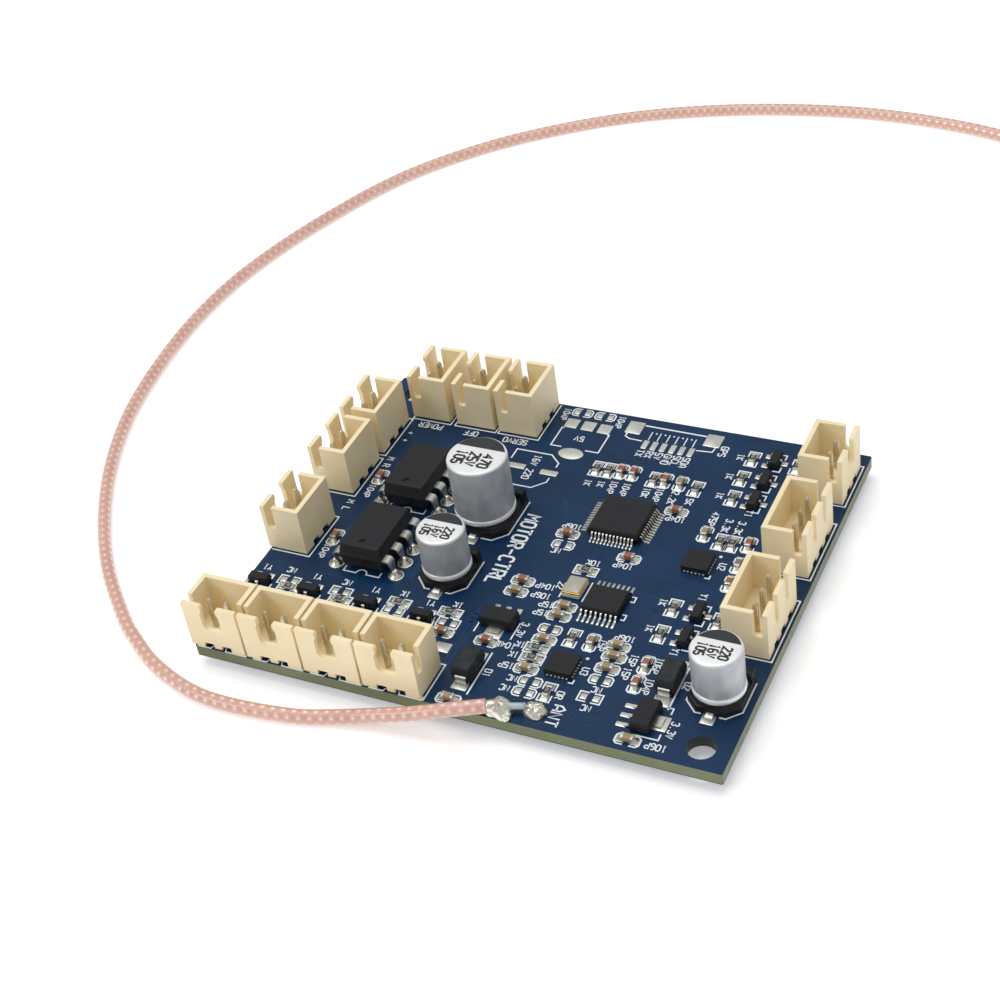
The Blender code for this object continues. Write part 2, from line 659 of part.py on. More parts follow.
def build_cord():
    """Jacket as one round tube, and the plug on its far end."""
    from_corner = [(x - CENTRE_X / MM, y - CENTRE_Y / MM, z) for x, y, z in CORD_POINTS]
    route = smooth_route(from_corner, CORD_STEP)
    curve = bpy.data.curves.new("coax_cord", "CURVE")
    curve.dimensions = "3D"
    curve.bevel_depth = CORD_D / 2
    curve.bevel_resolution = 2
    curve.render_resolution_u = 0
    curve.use_fill_caps = True
    spline = curve.splines.new("POLY")
    spline.points.add(len(route) - 1)
    for point, where in zip(spline.points, route):
        point.co = (*where, 1.0)
    cord = bpy.data.objects.new("coax_cord", curve)
    bpy.context.collection.objects.link(cord)
    curve.materials.append(material("cord_jacket"))

    ahead = (route[-1] - route[-2]).normalized()
    ahead.z = 0.0
    ahead.normalize()
    start = route[-1] + ahead * GAP
    body_l, body_d = (v * MM for v in PLUG_BODY)
    nut_l, nut_w = (v * MM for v in PLUG_NUT)
    middle = start + ahead * body_l
    place("aerial_plug_body", mesh_of("aerial_plug_body", lambda bm: rod(
        bm, start, middle, body_d / 2, 16)), look="gold", smooth=True)
    place("aerial_plug_nut", mesh_of("aerial_plug_nut", lambda bm: rod(
        bm, middle + ahead * GAP, middle + ahead * (GAP + nut_l), nut_w / 2 / math.cos(math.pi / 6),
        6)), look="gold")


def main():
    for obj in list(bpy.data.objects):
        bpy.data.objects.remove(obj, do_unlink=True)
    build_board()
    build_headers()
    for name, spec in CAPACITORS.items():
        build_capacitor(name, *spec)
    build_drivers()
    build_controller()
    build_interface()
    build_small_packages()
    build_lead_end()
    build_cord()


main()
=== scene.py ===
"""Looks of a populated motor and radio board with a coaxial aerial lead."""

import math
from collections import namedtuple

import bmesh
import bpy
import numpy as np
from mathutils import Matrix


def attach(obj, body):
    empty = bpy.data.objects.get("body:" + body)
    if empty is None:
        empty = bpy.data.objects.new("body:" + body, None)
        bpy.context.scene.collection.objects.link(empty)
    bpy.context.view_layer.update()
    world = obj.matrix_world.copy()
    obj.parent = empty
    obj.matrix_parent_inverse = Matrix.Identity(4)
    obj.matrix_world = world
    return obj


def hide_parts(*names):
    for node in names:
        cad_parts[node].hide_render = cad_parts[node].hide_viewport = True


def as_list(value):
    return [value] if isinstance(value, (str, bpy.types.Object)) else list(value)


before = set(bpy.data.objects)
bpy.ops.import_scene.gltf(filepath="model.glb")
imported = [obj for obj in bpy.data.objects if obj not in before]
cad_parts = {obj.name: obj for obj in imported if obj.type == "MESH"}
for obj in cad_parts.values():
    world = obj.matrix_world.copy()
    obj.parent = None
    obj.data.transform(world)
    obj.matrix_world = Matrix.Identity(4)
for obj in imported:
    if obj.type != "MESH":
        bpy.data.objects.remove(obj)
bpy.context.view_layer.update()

MM = 0.001
# Lengths below are millimetres from the board's front left top corner.
CORNER = np.array([-34.525, -29.0, 3.1])
rng = np.random.default_rng(7)


# ---- camera -----------------------------------------------------------------
def add_camera():
    """Camera above the board's front right corner."""
    data = bpy.data.cameras.new("camera")
    data.lens, data.sensor_width = 67.052, 36.0
    data.clip_start, data.clip_end = 0.01, 10.0
    obj = bpy.data.objects.new("camera", data)
    obj.location = (0.089664, -0.156520, 0.158539)
    obj.rotation_euler = [math.radians(a) for a in (50.502, 7.581, 24.849)]
    bpy.context.collection.objects.link(obj)
    bpy.context.scene.camera = obj


add_camera()


# ---- shapes -----------------------------------------------------------------
Shape = namedtuple("Shape", "verts loops totals slots")


def shape(verts, faces):
    """Shape from vertices and a list of face arrays, each of one size."""
    loops = np.concatenate([np.asarray(f).ravel() for f in faces])
    totals = np.concatenate([np.full(len(f), np.shape(f)[1]) for f in faces])
    return Shape(np.asarray(verts, float), loops, totals, np.zeros(len(totals), int))


def loft(rings):
    """Skin over rings of equal count, each turning left about the way ahead, with a flat
    face on each end."""
    rings = np.asarray(rings, float)
    k, n = rings.shape[:2]
    here = np.arange(k * n).reshape(k, n)
    side = np.roll(here, -1, axis=1)
    quads = np.stack([here[:-1], side[:-1], side[1:], here[1:]], -1).reshape(-1, 4)
    return shape(rings.reshape(-1, 3), [quads, here[:1, ::-1], here[-1:]])


def merged(shapes):
    """Several shapes as one."""
    starts = np.cumsum([0] + [len(s.verts) for s in shapes[:-1]])
    return Shape(np.concatenate([s.verts for s in shapes]),
                 np.concatenate([s.loops + a for s, a in zip(shapes, starts)]),
                 np.concatenate([s.totals for s in shapes]),
                 np.concatenate([s.slots for s in shapes]))


def repeat(s, places, slots=None):
    """The shape at each place (x, y, z, turn): turned about z, then moved."""
    p = np.asarray(places, float).reshape(-1, 4)
    c, q = np.cos(p[:, 3]), np.sin(p[:, 3])
    x = s.verts[:, 0] * c[:, None] - s.verts[:, 1] * q[:, None] + p[:, 0, None]
    y = s.verts[:, 0] * q[:, None] + s.verts[:, 1] * c[:, None] + p[:, 1, None]
    z = s.verts[:, 2] + p[:, 2, None]
    loops = s.loops[None] + (len(s.verts) * np.arange(len(p)))[:, None]
    marks = np.tile(s.slots, len(p)) if slots is None else np.repeat(slots, len(s.slots))
    return Shape(np.stack([x, y, z], -1).reshape(-1, 3), loops.ravel(),
                 np.tile(s.totals, len(p)), marks)


def at(s, x=0.0, y=0.0, z=0.0, turn=0.0):
    return repeat(s, [(x, y, z, turn)])


def coloured(s, slot):
    return s._replace(slots=np.full(len(s.slots), slot))


def round_rect(hx, hy, r, steps=4):
    """Rectangle with quarter-circle corners, turning left."""
    quarter = np.arange(4)[:, None] * math.pi / 2
    angle = quarter + np.linspace(0, math.pi / 2, steps + 1)[None]
    sx, sy = np.array([[1], [-1], [-1], [1]]), np.array([[1], [1], [-1], [-1]])
    return np.stack([sx * (hx - r) + r * np.cos(angle),
                     sy * (hy - r) + r * np.sin(angle)], -1).reshape(-1, 2)


def circle(r, n):
    a = np.arange(n) * 2 * math.pi / n
    return np.stack([r * np.cos(a), r * np.sin(a)], -1)


def level(outline, z):
    """An outline lifted to a height, which may vary round it."""
    return np.column_stack([outline, np.broadcast_to(z, len(outline))])


def block(levels, r=0.1, steps=3, dimple=None):
    """Stack of round-cornered rectangles (z, half x, half y). A dimple (x, y, radius,
    depth) is reached by rings that shrink from the top's outline to its circle."""
    rings = [level(round_rect(hx, hy, min(r, hx * .98, hy * .98), steps), z)
             for z, hx, hy in levels]
    if dimple:
        x, y, radius, depth = dimple
        rings.append(rings[-1] * (.95, .95, 1))
        top = rings[-1]
        aim = top[:, :2] - (x, y)
        rim = (x, y) + radius * aim / np.linalg.norm(aim, axis=1)[:, None]
        floor = (x, y) + (rim - (x, y)) * 0.86
        rings += [level(rim, top[0, 2]), level(floor, top[0, 2] - depth)]
    return loft(rings)


def rounded(hx, hy, z0, z1, edge, r=0.1, steps=3):
    """Block whose top and bottom edges turn in along a quarter circle."""
    a = np.linspace(0, math.pi / 2, 4)
    low = [(z0 + edge * (1 - math.sin(t)), edge * (1 - math.cos(t))) for t in a[::-1]]
    high = [(z1 - edge * (1 - math.sin(t)), edge * (1 - math.cos(t))) for t in a]
    return block([(z, hx - inset, hy - inset) for z, inset in low + high], r, steps)


def revolve(profile, n):
    """Profile of (radius, z) turned once about z. It starts and ends near the axis."""
    return loft([level(circle(r, n), z) for r, z in profile])


def tube(points, radius, sides=12, close=False):
    """Round tube along a path: each ring lies across the path, with one axis level.
    The radius may vary along it. Closed ends shrink over their last half radius."""
    p = np.asarray(points, float)
    radius = np.broadcast_to(radius, len(p)).astype(float)
    ahead = np.gradient(p, axis=0)
    ahead /= np.linalg.norm(ahead, axis=1)[:, None]
    across = np.cross((0, 0, 1.0), ahead)
    across /= np.linalg.norm(across, axis=1)[:, None]
    up = np.cross(ahead, across)
    a = np.arange(sides) * 2 * math.pi / sides
    ring = across[:, None] * np.cos(a)[None, :, None] + up[:, None] * np.sin(a)[None, :, None]
    if close:
        p = np.vstack([p[0] - ahead[0] * radius[0] * .4, p,
                       p[-1] + ahead[-1] * radius[-1] * .4])
        ring = np.concatenate([ring[:1], ring, ring[-1:]])
        radius = np.concatenate([radius[:1] * .6, radius, radius[-1:] * .6])
    return loft(p[:, None] + ring * radius[:, None, None])


def strip(path, width, thick):
    """Flat metal of rectangular section along a path in the YZ plane."""
    p = np.asarray(path, float)
    ahead = np.gradient(p, axis=0)
    ahead /= np.linalg.norm(ahead, axis=1)[:, None]
    up = np.stack([-ahead[:, 1], ahead[:, 0]], -1)   # square to the way ahead
    width = np.broadcast_to(width, len(p))[:, None]
    corners = []
    for sx, sn in ((-1, 1), (-1, -1), (1, -1), (1, 1)):
        yz = p + up * sn * thick / 2
        corners.append(np.column_stack([sx * width / 2, yz]))
    return loft(np.stack(corners, 1))


def arc_path(points, r, steps=4):
    """Open path with each inner corner rounded to a radius by a quadratic curve."""
    p = np.asarray(points, float)
    out = [p[:1]]
    for a, b, c in zip(p[:-2], p[1:-1], p[2:]):
        ra = min(r, np.linalg.norm(a - b) * .49)
        rc = min(r, np.linalg.norm(c - b) * .49)
        start = b + (a - b) / np.linalg.norm(a - b) * ra
        end = b + (c - b) / np.linalg.norm(c - b) * rc
        t = np.linspace(0, 1, steps + 1)[:, None]
        out.append((1 - t) ** 2 * start + 2 * t * (1 - t) * b + t ** 2 * end)
    out.append(p[-1:])
    return np.concatenate(out)


def ribbon(points, width, z0, z1):
    """Flat line on the board. Each corner is a mitre: the mean of the two side
    directions, made longer by one over the cosine of half the turn."""
    p = np.asarray(points, float)
    step = np.diff(p, axis=0)
    before, after = np.vstack([step[:1], step]), np.vstack([step, step[-1:]])
    side = [np.stack([-d[:, 1], d[:, 0]], -1) / np.linalg.norm(d, axis=1)[:, None]
            for d in (before, after)]
    mitre = side[0] + side[1]
    mitre /= np.maximum((mitre * side[0]).sum(1), 0.5)[:, None]
    half = mitre * width / 2
    corners = [(-half, z0), (half, z0), (half, z1), (-half, z1)]
    rings = np.stack([np.column_stack([p + h, np.full(len(p), z)]) for h, z in corners], 1)
    return loft(rings)


def cells(xs, ys, zs, filled):
    """Moulding on a grid of cells: a face stands wherever a filled cell meets an
    empty one, on the grid's lines xs, ys and zs."""
    lines = (np.asarray(xs), np.asarray(ys), np.asarray(zs))
    padded = np.pad(filled, 1)
    quads = []
    for axis in range(3):
        inner = [slice(1, -1)] * 3
        low, high = list(inner), list(inner)
        low[axis], high[axis] = slice(None, -1), slice(1, None)
        a, b = padded[tuple(low)], padded[tuple(high)]
        step = np.zeros((4, 3), int)
        step[1:3, (axis + 1) % 3] = 1
        step[2:4, (axis + 2) % 3] = 1
        for mask, order in ((a & ~b, 1), (b & ~a, -1)):
            quads.append(np.argwhere(mask)[:, None] + step[None, ::order])
    corner = np.concatenate(quads)
    size = tuple(len(v) for v in lines)
    flat = np.ravel_multi_index(tuple(np.moveaxis(corner, -1, 0)), size)
    used, faces = np.unique(flat, return_inverse=True)
    i, j, k = np.unravel_index(used, size)
    verts = np.stack([lines[0][i], lines[1][j], lines[2][k]], -1)
    return shape(verts, [faces.reshape(-1, 4)])


def mesh_of(name, s, materials, angle=35.0):
    mesh = bpy.data.meshes.new(name)
    verts = (s.verts + CORNER) * MM
    mesh.vertices.add(len(verts))
    mesh.vertices.foreach_set("co", verts.ravel())
    mesh.loops.add(len(s.loops))
    mesh.loops.foreach_set("vertex_index", s.loops.astype(np.int32))
    mesh.polygons.add(len(s.totals))
    starts = np.concatenate([[0], np.cumsum(s.totals)[:-1]])
    mesh.polygons.foreach_set("loop_start", starts.astype(np.int32))
    mesh.polygons.foreach_set("material_index", s.slots.astype(np.int32))
    mesh.update(calc_edges=True)
    mesh.validate()
    for material in materials:
        mesh.materials.append(material)
    mesh.shade_smooth()
    if angle < 180:
        mesh.set_sharp_from_angle(angle=math.radians(angle))
    return mesh


def piece(name, s, materials, replaces=(), angle=35.0):
    """New piece of the object, which rides on the one body that there is."""
    obj = bpy.data.objects.new(name, mesh_of(name, s, materials, angle))
    bpy.context.collection.objects.link(obj)
    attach(obj, "root")
    if replaces:
        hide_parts(*replaces)
    return obj


# ---- finishes ---------------------------------------------------------------
def lin(r, g, b):
    """Linear colour of an 8-bit display colour."""
    c = np.array([r, g, b]) / 255
    return (*np.where(c > 0.04045, ((c + 0.055) / 1.055) ** 2.4, c / 12.92), 1.0)


def add_group(name, inputs, outputs):
    group = bpy.data.node_groups.new(name, "ShaderNodeTree")
    for direction, sockets in (("INPUT", inputs), ("OUTPUT", outputs)):
        for label, kind in sockets:
            group.interface.new_socket(label, in_out=direction, socket_type=kind)
    return group, group.nodes.new("NodeGroupInput"), group.nodes.new("NodeGroupOutput")


def put(socket, value):
    """Links another socket to this one, or sets this one's own value."""
    if hasattr(value, "node"):
        socket.id_data.links.new(value, socket)
    else:
        socket.default_value = value


def add(tree, kind, inputs, **settings):
    """New node with its settings. Its inputs are linked or set by name or number."""
    node = tree.nodes.new("ShaderNode" + kind)
    for key, value in settings.items():
        setattr(node, key, value)
    for key, value in inputs.items():
        put(node.inputs[key], value)
    return node


def calc(tree, kind, *values):
    return add(tree, "Math", dict(enumerate(values)), operation=kind).outputs[0]


def mix(tree, factor, a, b, blend="MIX"):
    return add(tree, "Mix", {"Factor": factor, "A": a, "B": b}, data_type="RGBA",
               blend_type=blend).outputs["Result"]


def spread(tree, value, low, high, start=0.0, end=1.0):
    return add(tree, "MapRange", {"Value": value, "From Min": low, "From Max": high,
                                  "To Min": start, "To Max": end}).outputs["Result"]


def build_grain_group():
    """Broad and fine variation of a surface: soft clouds, and a finer grain that is
    also the height of its relief."""
    group, given, result = add_group(
        "surface_grain", [("Position", "NodeSocketVector"), ("Scale", "NodeSocketFloat")],
        [("Clouds", "NodeSocketFloat"), ("Grain", "NodeSocketFloat")])
    for label, share, detail in (("Clouds", 1.0, 3.0), ("Grain", 9.0, 2.0)):
        scale = calc(group, "MULTIPLY", given.outputs["Scale"], share)
        noise = add(group, "TexNoise", {"Vector": given.outputs["Position"], "Scale": scale,
                                        "Detail": detail})
        put(result.inputs[label], noise.outputs["Fac"])
    return group


GRAIN = build_grain_group()
NOISE_RANGE = (0.3, 0.7)       # where nearly all of the noise lies


def finish(name, colour, tint, rough=(0.4, 0.5), metal=0.0, scale=400.0, relief=0.02,
           **constants):
    """Finish between two colours and two roughnesses by the clouds and the grain, with a
    relief in millimetres. Constants are set on the shader's own sockets."""
    mat = bpy.data.materials.new(name)
    mat.use_nodes = True
    tree = mat.node_tree
    shader = tree.nodes["Principled BSDF"].inputs
    place = add(tree, "TexCoord", {}).outputs["Object"]
    grain = add(tree, "Group", {"Position": place, "Scale": scale}, node_tree=GRAIN).outputs
    clouds = spread(tree, grain["Clouds"], *NOISE_RANGE)
    put(shader["Base Color"], mix(tree, clouds, lin(*colour), lin(*tint)))
    put(shader["Roughness"], spread(tree, grain["Grain"], *NOISE_RANGE, *rough))
    bump = add(tree, "Bump", {"Distance": relief * MM, "Strength": 1.0,
                              "Height": grain["Grain"]})
    put(shader["Normal"], bump.outputs["Normal"])
    for socket, value in {"Metallic": metal, **constants}.items():
        shader[socket.replace("_", " ")].default_value = value
    mat.diffuse_color = lin(*colour)
    return mat


def by_facing(mat, edge_colour, edge_tint, low=0.5, high=0.7):
    """Puts other colours, mixed by the same clouds, on faces that don't look up or down."""
    tree = mat.node_tree
    base = tree.nodes["Principled BSDF"].inputs["Base Color"]
    was = base.links[0].from_socket
    clouds = was.node.inputs["Factor"].links[0].from_socket
    normal = add(tree, "NewGeometry", {}).outputs["Normal"]
    upright = calc(tree, "ABSOLUTE", add(tree, "SeparateXYZ", {"Vector": normal}).outputs["Z"])
    sides = mix(tree, clouds, lin(*edge_colour), lin(*edge_tint))
    put(base, mix(tree, spread(tree, upright, low, high), sides, was))
    return mat


DULL = {"Specular_IOR_Level": 0.25}
LAMINATE = by_facing(finish("blue_solder_mask", (4, 41, 74), (9, 49, 85), (0.3, 0.42),
                            scale=120.0, relief=0.002, **DULL), (104, 112, 78),
                     (122, 128, 98))
TRACE = finish("mask_over_copper", (15, 52, 88), (20, 59, 96), (0.3, 0.4), relief=0.002,
               **DULL)
VIA = finish("tented_via", (8, 36, 64), (10, 41, 71), (0.3, 0.4), relief=0.002, **DULL)
SILK = finish("white_legend_ink", (232, 238, 242), (244, 248, 250), (0.5, 0.6), scale=900.0,
              relief=0.004)
PAD = finish("tinned_pad", (206, 208, 200), (232, 232, 224), (0.34, 0.44), 0.8, 500.0, 0.001)
SOLDER = finish("bright_solder", (212, 210, 192), (240, 239, 224), (0.2, 0.3), 0.9, 400.0,
                0.0012)
LEG = finish("tinned_leg", (190, 190, 182), (216, 216, 208), (0.26, 0.36), 0.9, 500.0, 0.0008)
CONTACT = finish("tinned_brass_contact", (190, 182, 158), (212, 206, 184), (0.26, 0.36), 0.8,
                 300.0, 0.0006)
NYLON = finish("cream_nylon", (243, 224, 182), (249, 234, 196), (0.42, 0.55), 0.0, 260.0,
               0.006)
MOULD = finish("black_mould_compound", (27, 28, 31), (34, 35, 38), (0.42, 0.56), 0.0, 1200.0,
               0.006, **DULL)
DIODE_MOULD = finish("worn_black_mould", (30, 32, 34), (50, 53, 55), (0.5, 0.65), 0.0, 900.0,
                     0.02, **DULL)
# One aluminium all round: its lighter top is painted light, and its darker sides, chosen by
# facing, are painted shade.
CAN = by_facing(finish("drawn_aluminium_painted_shade_sides", (232, 234, 233), (241, 242, 241), (0.36, 0.46), 0.3,
                       500.0, 0.004), (176, 181, 186), (198, 201, 204), 0.35, 0.8)
# Near-white copy of the can's aluminium: a painted highlight on the rolled foot.
CAN_RIM = finish("rolled_rim_painted_highlight", (240, 241, 242), (250, 250, 250), (0.3, 0.4), 0.3,
                 500.0, 0.001)
CAN_INK = finish("black_can_ink", (26, 28, 33), (36, 38, 43), (0.35, 0.5), 0.0, 500.0, 0.002)
BASE = finish("black_base_plastic", (21, 22, 25), (30, 31, 34), (0.3, 0.45), 0.0, 600.0, 0.006,
              **DULL)
BROWN = finish("brown_ceramic", (140, 84, 56), (164, 106, 74), (0.35, 0.5), 0.0, 900.0, 0.004)
TAN = finish("tan_ceramic", (142, 122, 86), (168, 146, 106), (0.35, 0.5), 0.0, 900.0, 0.004)
GREY = finish("grey_ceramic", (116, 102, 90), (136, 122, 108), (0.35, 0.5), 0.0, 900.0, 0.004)
CERAMIC = finish("white_alumina", (206, 204, 194), (220, 218, 210), (0.4, 0.5), relief=0.003)
GLASS = finish("black_resistor_glass", (24, 24, 26), (34, 33, 34), (0.25, 0.35), 0.0, 900.0,
               0.002)
MARK = finish("resistor_mark", (190, 186, 172), (206, 202, 190), (0.4, 0.5), relief=0.002)
LID = finish("satin_crystal_lid", (172, 170, 154), (184, 182, 168), (0.4, 0.5), 0.4, 600.0,
             0.002)
GOLD = finish("gold_plate", (226, 172, 66), (242, 198, 96), (0.18, 0.3), 1.0, 600.0, 0.002)
MILKY = finish("milky_dielectric", (146, 154, 168), (186, 191, 200), (0.25, 0.35), 0.0, 500.0,
               0.003, Coat_Weight=0.3)


def paint_bore_shade_and_edge_line(mat, centres, radius, lip_z, colour):
    """Puts a dark colour on the walls of the mounting holes, by the distance to their axes, as
    painted shade inside the holes, and on the thin line where the edge meets the under
    side's mask."""
    tree = mat.node_tree
    walls = tree.nodes["Principled BSDF"].inputs["Base Color"].links[0].from_node.inputs["A"]
    place = add(tree, "TexCoord", {}).outputs["Object"]
    middle_z = 2.3
    gaps = [add(tree, "VectorMath", {0: place, 1: (x * MM, y * MM, middle_z * MM)},
                operation="DISTANCE").outputs["Value"] for x, y in centres]
    close = calc(tree, "LESS_THAN", calc(tree, "MINIMUM", *gaps), radius * MM)
    height = add(tree, "SeparateXYZ", {"Vector": place}).outputs["Z"]
    lip = calc(tree, "LESS_THAN", height, lip_z * MM)
    put(walls, mix(tree, calc(tree, "MAXIMUM", close, lip), walls.links[0].from_socket,
                   lin(*colour)))


# Painted shade on the walls of the two mounting holes, and a dark line at the foot of the edge.
paint_bore_shade_and_edge_line(LAMINATE, ((31.375, -25.85), (-30.925, 25.85)), 2.2, 1.62, (38, 42, 42))


def jacket_finish(turns, pitch):
    """Clear pink jacket over a silver braid. Two families of slanting waves cross, each
    the sine of (turns round the cord + or - the way along it over the pitch). The size of
    their product gives the woven diamonds. A power of it, narrowed to rows by the cosine
    of the turns round, gives short glints: painted highlights, mixed into the colour as
    near white and into the metallic."""
    group, given, result = add_group(
        "braid_weave", [("UV", "NodeSocketVector"), ("Turns", "NodeSocketFloat"),
                        ("Pitch", "NodeSocketFloat")],
        [("Weave", "NodeSocketFloat"), ("Painted_Glint", "NodeSocketFloat")])
    split = add(group, "SeparateXYZ", {"Vector": given.outputs["UV"]}).outputs
    around = calc(group, "MULTIPLY_ADD", split["X"], given.outputs["Turns"], 0.125)
    along = calc(group, "DIVIDE", split["Y"], given.outputs["Pitch"])
    waves = [calc(group, "SINE", calc(group, "MULTIPLY", calc(group, kind, around, along),
                                      2 * math.pi)) for kind in ("ADD", "SUBTRACT")]
    weave = calc(group, "ABSOLUTE", calc(group, "MULTIPLY", *waves))
    put(result.inputs["Weave"], weave)
    twice = calc(group, "MULTIPLY", around, 4 * math.pi)
    row = calc(group, "ABSOLUTE", calc(group, "COSINE", twice))
    put(result.inputs["Painted_Glint"], calc(group, "MULTIPLY", calc(group, "POWER", weave, 4.0),
                                     calc(group, "POWER", row, 8.0)))

    mat = finish("clear_pink_jacket", (222, 179, 163), (231, 190, 175), (0.28, 0.38), 0.0,
                 160.0, 0.01, Coat_Weight=0.5, Coat_Roughness=0.12)
    tree = mat.node_tree
    shader = tree.nodes["Principled BSDF"].inputs
    uv = add(tree, "UVMap", {}, uv_map="along").outputs["UV"]
    braid = add(tree, "Group", {"UV": uv, "Turns": turns, "Pitch": pitch},
                node_tree=group).outputs
    between = calc(tree, "SUBTRACT", 1.0, braid["Weave"])
    deep = mix(tree, between, shader["Base Color"].links[0].from_socket, lin(236, 224, 219),
               "MULTIPLY")
    # Painted highlights: along the glint rows the colour turns near white.
    put(shader["Base Color"], mix(tree, braid["Painted_Glint"], deep, lin(255, 240, 230)))
    bump = shader["Normal"].links[0].from_node.inputs
    put(bump["Distance"], 0.05 * MM)
    put(bump["Height"], braid["Weave"])
    put(shader["Metallic"], calc(tree, "MULTIPLY", braid["Painted_Glint"], 0.6))
    return mat


JACKET = jacket_finish(turns=1.5, pitch=0.0028)

# ---- the aerial lead --------------------------------------------------------
CORD_D = 1.8
CORD_POINTS = (   # middle of the lead, in millimetres from the origin
    (5.90, -28.42, 4.35), (2.00, -30.10, 4.20), (-2.90, -31.20, 3.05),
    (-8.20, -31.90, 1.75), (-13.20, -33.00, 1.05), (-18.20, -34.20, 0.90),
    (-26.30, -34.90, 0.90), (-32.50, -34.30, 0.90), (-39.30, -31.80, 0.90),
    (-44.30, -28.70, 0.90), (-48.80, -25.20, 0.90), (-56.60, -17.40, 0.90),
    (-63.20, -8.50, 0.90), (-68.80, 1.40, 0.90), (-73.10, 12.40, 0.90),
    (-75.70, 24.80, 0.90), (-76.80, 38.40, 0.90), (-75.60, 52.00, 0.90),
    (-71.30, 67.50, 0.90), (-64.20, 83.70, 0.90), (-54.50, 96.10, 0.90),
    (-43.20, 105.50, 0.90), (-30.90, 112.60, 0.90), (-17.70, 117.30, 0.90),
    (-4.10, 120.10, 0.90), (9.70, 121.00, 0.90), (23.60, 119.60, 0.90),
    (34.50, 116.50, 0.90), (43.50, 111.30, 0.90), (50.00, 104.20, 0.90),
    (53.60, 97.00, 1.20), (55.00, 90.60, 2.40), (55.30, 84.60, 3.60),
    (55.40, 80.00, 4.00),
)


def smooth_route(points, steps):
    """Curve through the points: each stretch is the cubic whose slopes at its ends are
    half the step between the points on either side."""
    p = np.asarray(points, float)
    p = np.vstack([2 * p[0] - p[1], p, 2 * p[-1] - p[-2]])
    t = np.linspace(0, 1, steps, endpoint=False)[None, :, None]
    a, b, c, d = (p[k:len(p) - 3 + k, None] for k in range(4))
    curve = 0.5 * (2 * b + (c - a) * t + (2 * a - 5 * b + 4 * c - d) * t ** 2
                   + (3 * b - a - 3 * c + d) * t ** 3)
    curve = np.vstack([curve.reshape(-1, 3), p[-2:-1]])
    curve[:, 2] = np.maximum(curve[:, 2], CORD_D / 2)
    return curve


def build_cord():
    """Round jacket along the route, with a map of turns round it and metres along it."""
    route = smooth_route(CORD_POINTS, 22)
    sides = 16
    obj = piece("aerial_lead_jacket", tube(route - CORNER, CORD_D / 2, sides), [JACKET],
                ["coax_cord"], 60)
    mesh = obj.data
    lengths = np.concatenate([[0], np.cumsum(np.linalg.norm(np.diff(route, axis=0), axis=1))])
    index = np.empty(len(mesh.loops), np.int32)
    mesh.loops.foreach_get("vertex_index", index)
    ring, step = index // sides, index % sides
    # The last quad of each ring runs on to a whole turn.
    loop = np.arange(len(index))
    seam = (loop // 4 % sides == sides - 1) & (step == 0) & np.isin(loop % 4, (1, 2))
    u = np.where(seam & (loop < (len(route) - 1) * sides * 4), 1.0, step / sides)
    uv = mesh.uv_layers.new(name="along")
    uv.data.foreach_set(
        "uv", np.column_stack([u, lengths[ring] * MM]).ravel().astype(np.float32))
    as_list(build_plug(route))


def build_plug(route):
    """Crimped barrel, flange and six-sided nut, each turned or carried along the lead's
    last direction."""
    ahead = route[-1] - route[-2]
    turn = math.atan2(ahead[1], ahead[0])
    start = route[-1] - CORNER

    def along(profile, n, spin=0.0):
        a = np.arange(n) * 2 * math.pi / n + spin
        rings = [np.column_stack([np.full(n, x), r * np.cos(a), r * np.sin(a)])
                 for x, r in profile]
        return at(loft(rings), *start, turn)

    ribs = [(x, r) for k in range(6) for x, r in
            ((0.5 + 0.5 * k, 1.5), (0.6 + 0.5 * k, 1.62), (0.82 + 0.5 * k, 1.62),
             (0.92 + 0.5 * k, 1.5))]
    barrel = along([(0.3, 1.05), (0.32, 1.4), (0.42, 1.5)] + ribs
                   + [(3.7, 1.5), (3.75, 2.3), (3.85, 2.45), (4.6, 2.45), (4.7, 2.35),
                      (4.72, 1.9), (6.4, 1.9), (6.45, 1.2)], 28)
    hexagon = along([(6.85, 4.0), (7.15, 4.5), (10.9, 4.5), (11.2, 4.0), (11.25, 3.2),
                     (11.95, 3.15), (12.0, 2.6), (9.0, 2.5), (9.0, 0.6), (11.6, 0.5),
                     (11.8, 0.25)], 6)
    return [piece("plug_barrel", barrel, [GOLD], ["aerial_plug_body"]),
            piece("plug_nut", hexagon, [GOLD], ["aerial_plug_nut"])]


build_cord()

# ---- headers ----------------------------------------------------------------
UP = math.pi / 2
PITCH, HEADER_END, HEADER_TOP = 2.5, 2.65, 6.98
FRONT, REAR, WALL = -2.35, 3.4, 0.65
WINDOW_Z, SLOT_Z, SIDE_SLOT = 3.1, 3.4, 1.15
TURNS = {"front": 0.0, "right": math.pi / 2, "left": -math.pi / 2}
FRONT_ROW = [3.45 + 8.15 * k for k in range(4)]      # middles of the front housings
HEADERS = {
    **{f"front_{k + 1}": (2, x, 2.55, "front") for k, x in enumerate(FRONT_ROW)},
    "left_1": (2, 2.05, 23.20, "left"), "left_2": (2, 2.05, 36.00, "left"),
    "left_3": (2, 2.05, 45.10, "left"), "back_1": (2, 8.05, 53.90, "left"),
    "back_2": (2, 15.00, 53.90, "left"), "back_3": (2, 21.45, 53.90, "left"),
    "right_1": (3, 66.40, 23.60, "right"), "right_2": (3, 66.40, 38.30, "right"),
    "right_3": (2, 66.40, 51.40, "right"),
}


def prism(outline, y0, y1):
    """Outline (x, z) that turns left seen from the front, drawn out along y."""
    x, z = np.asarray(outline, float).T
    return loft([np.stack([x, np.full(len(x), y), z], -1) for y in (y1, y0)])


def foot_outline(x, z, sign, r):
    """Hollow quarter round (x + r - r cos t, z + r - r sin t) that fills a corner."""
    t = np.linspace(math.pi / 2, 0, 7)
    points = np.concatenate([[(-.05, -.05), (r, -.05)],
                             np.stack([r - r * np.cos(t), r - r * np.sin(t)], -1), [(-.05, r)]])
    points = points * (sign, 1) + (x, z)
    return points[::sign]


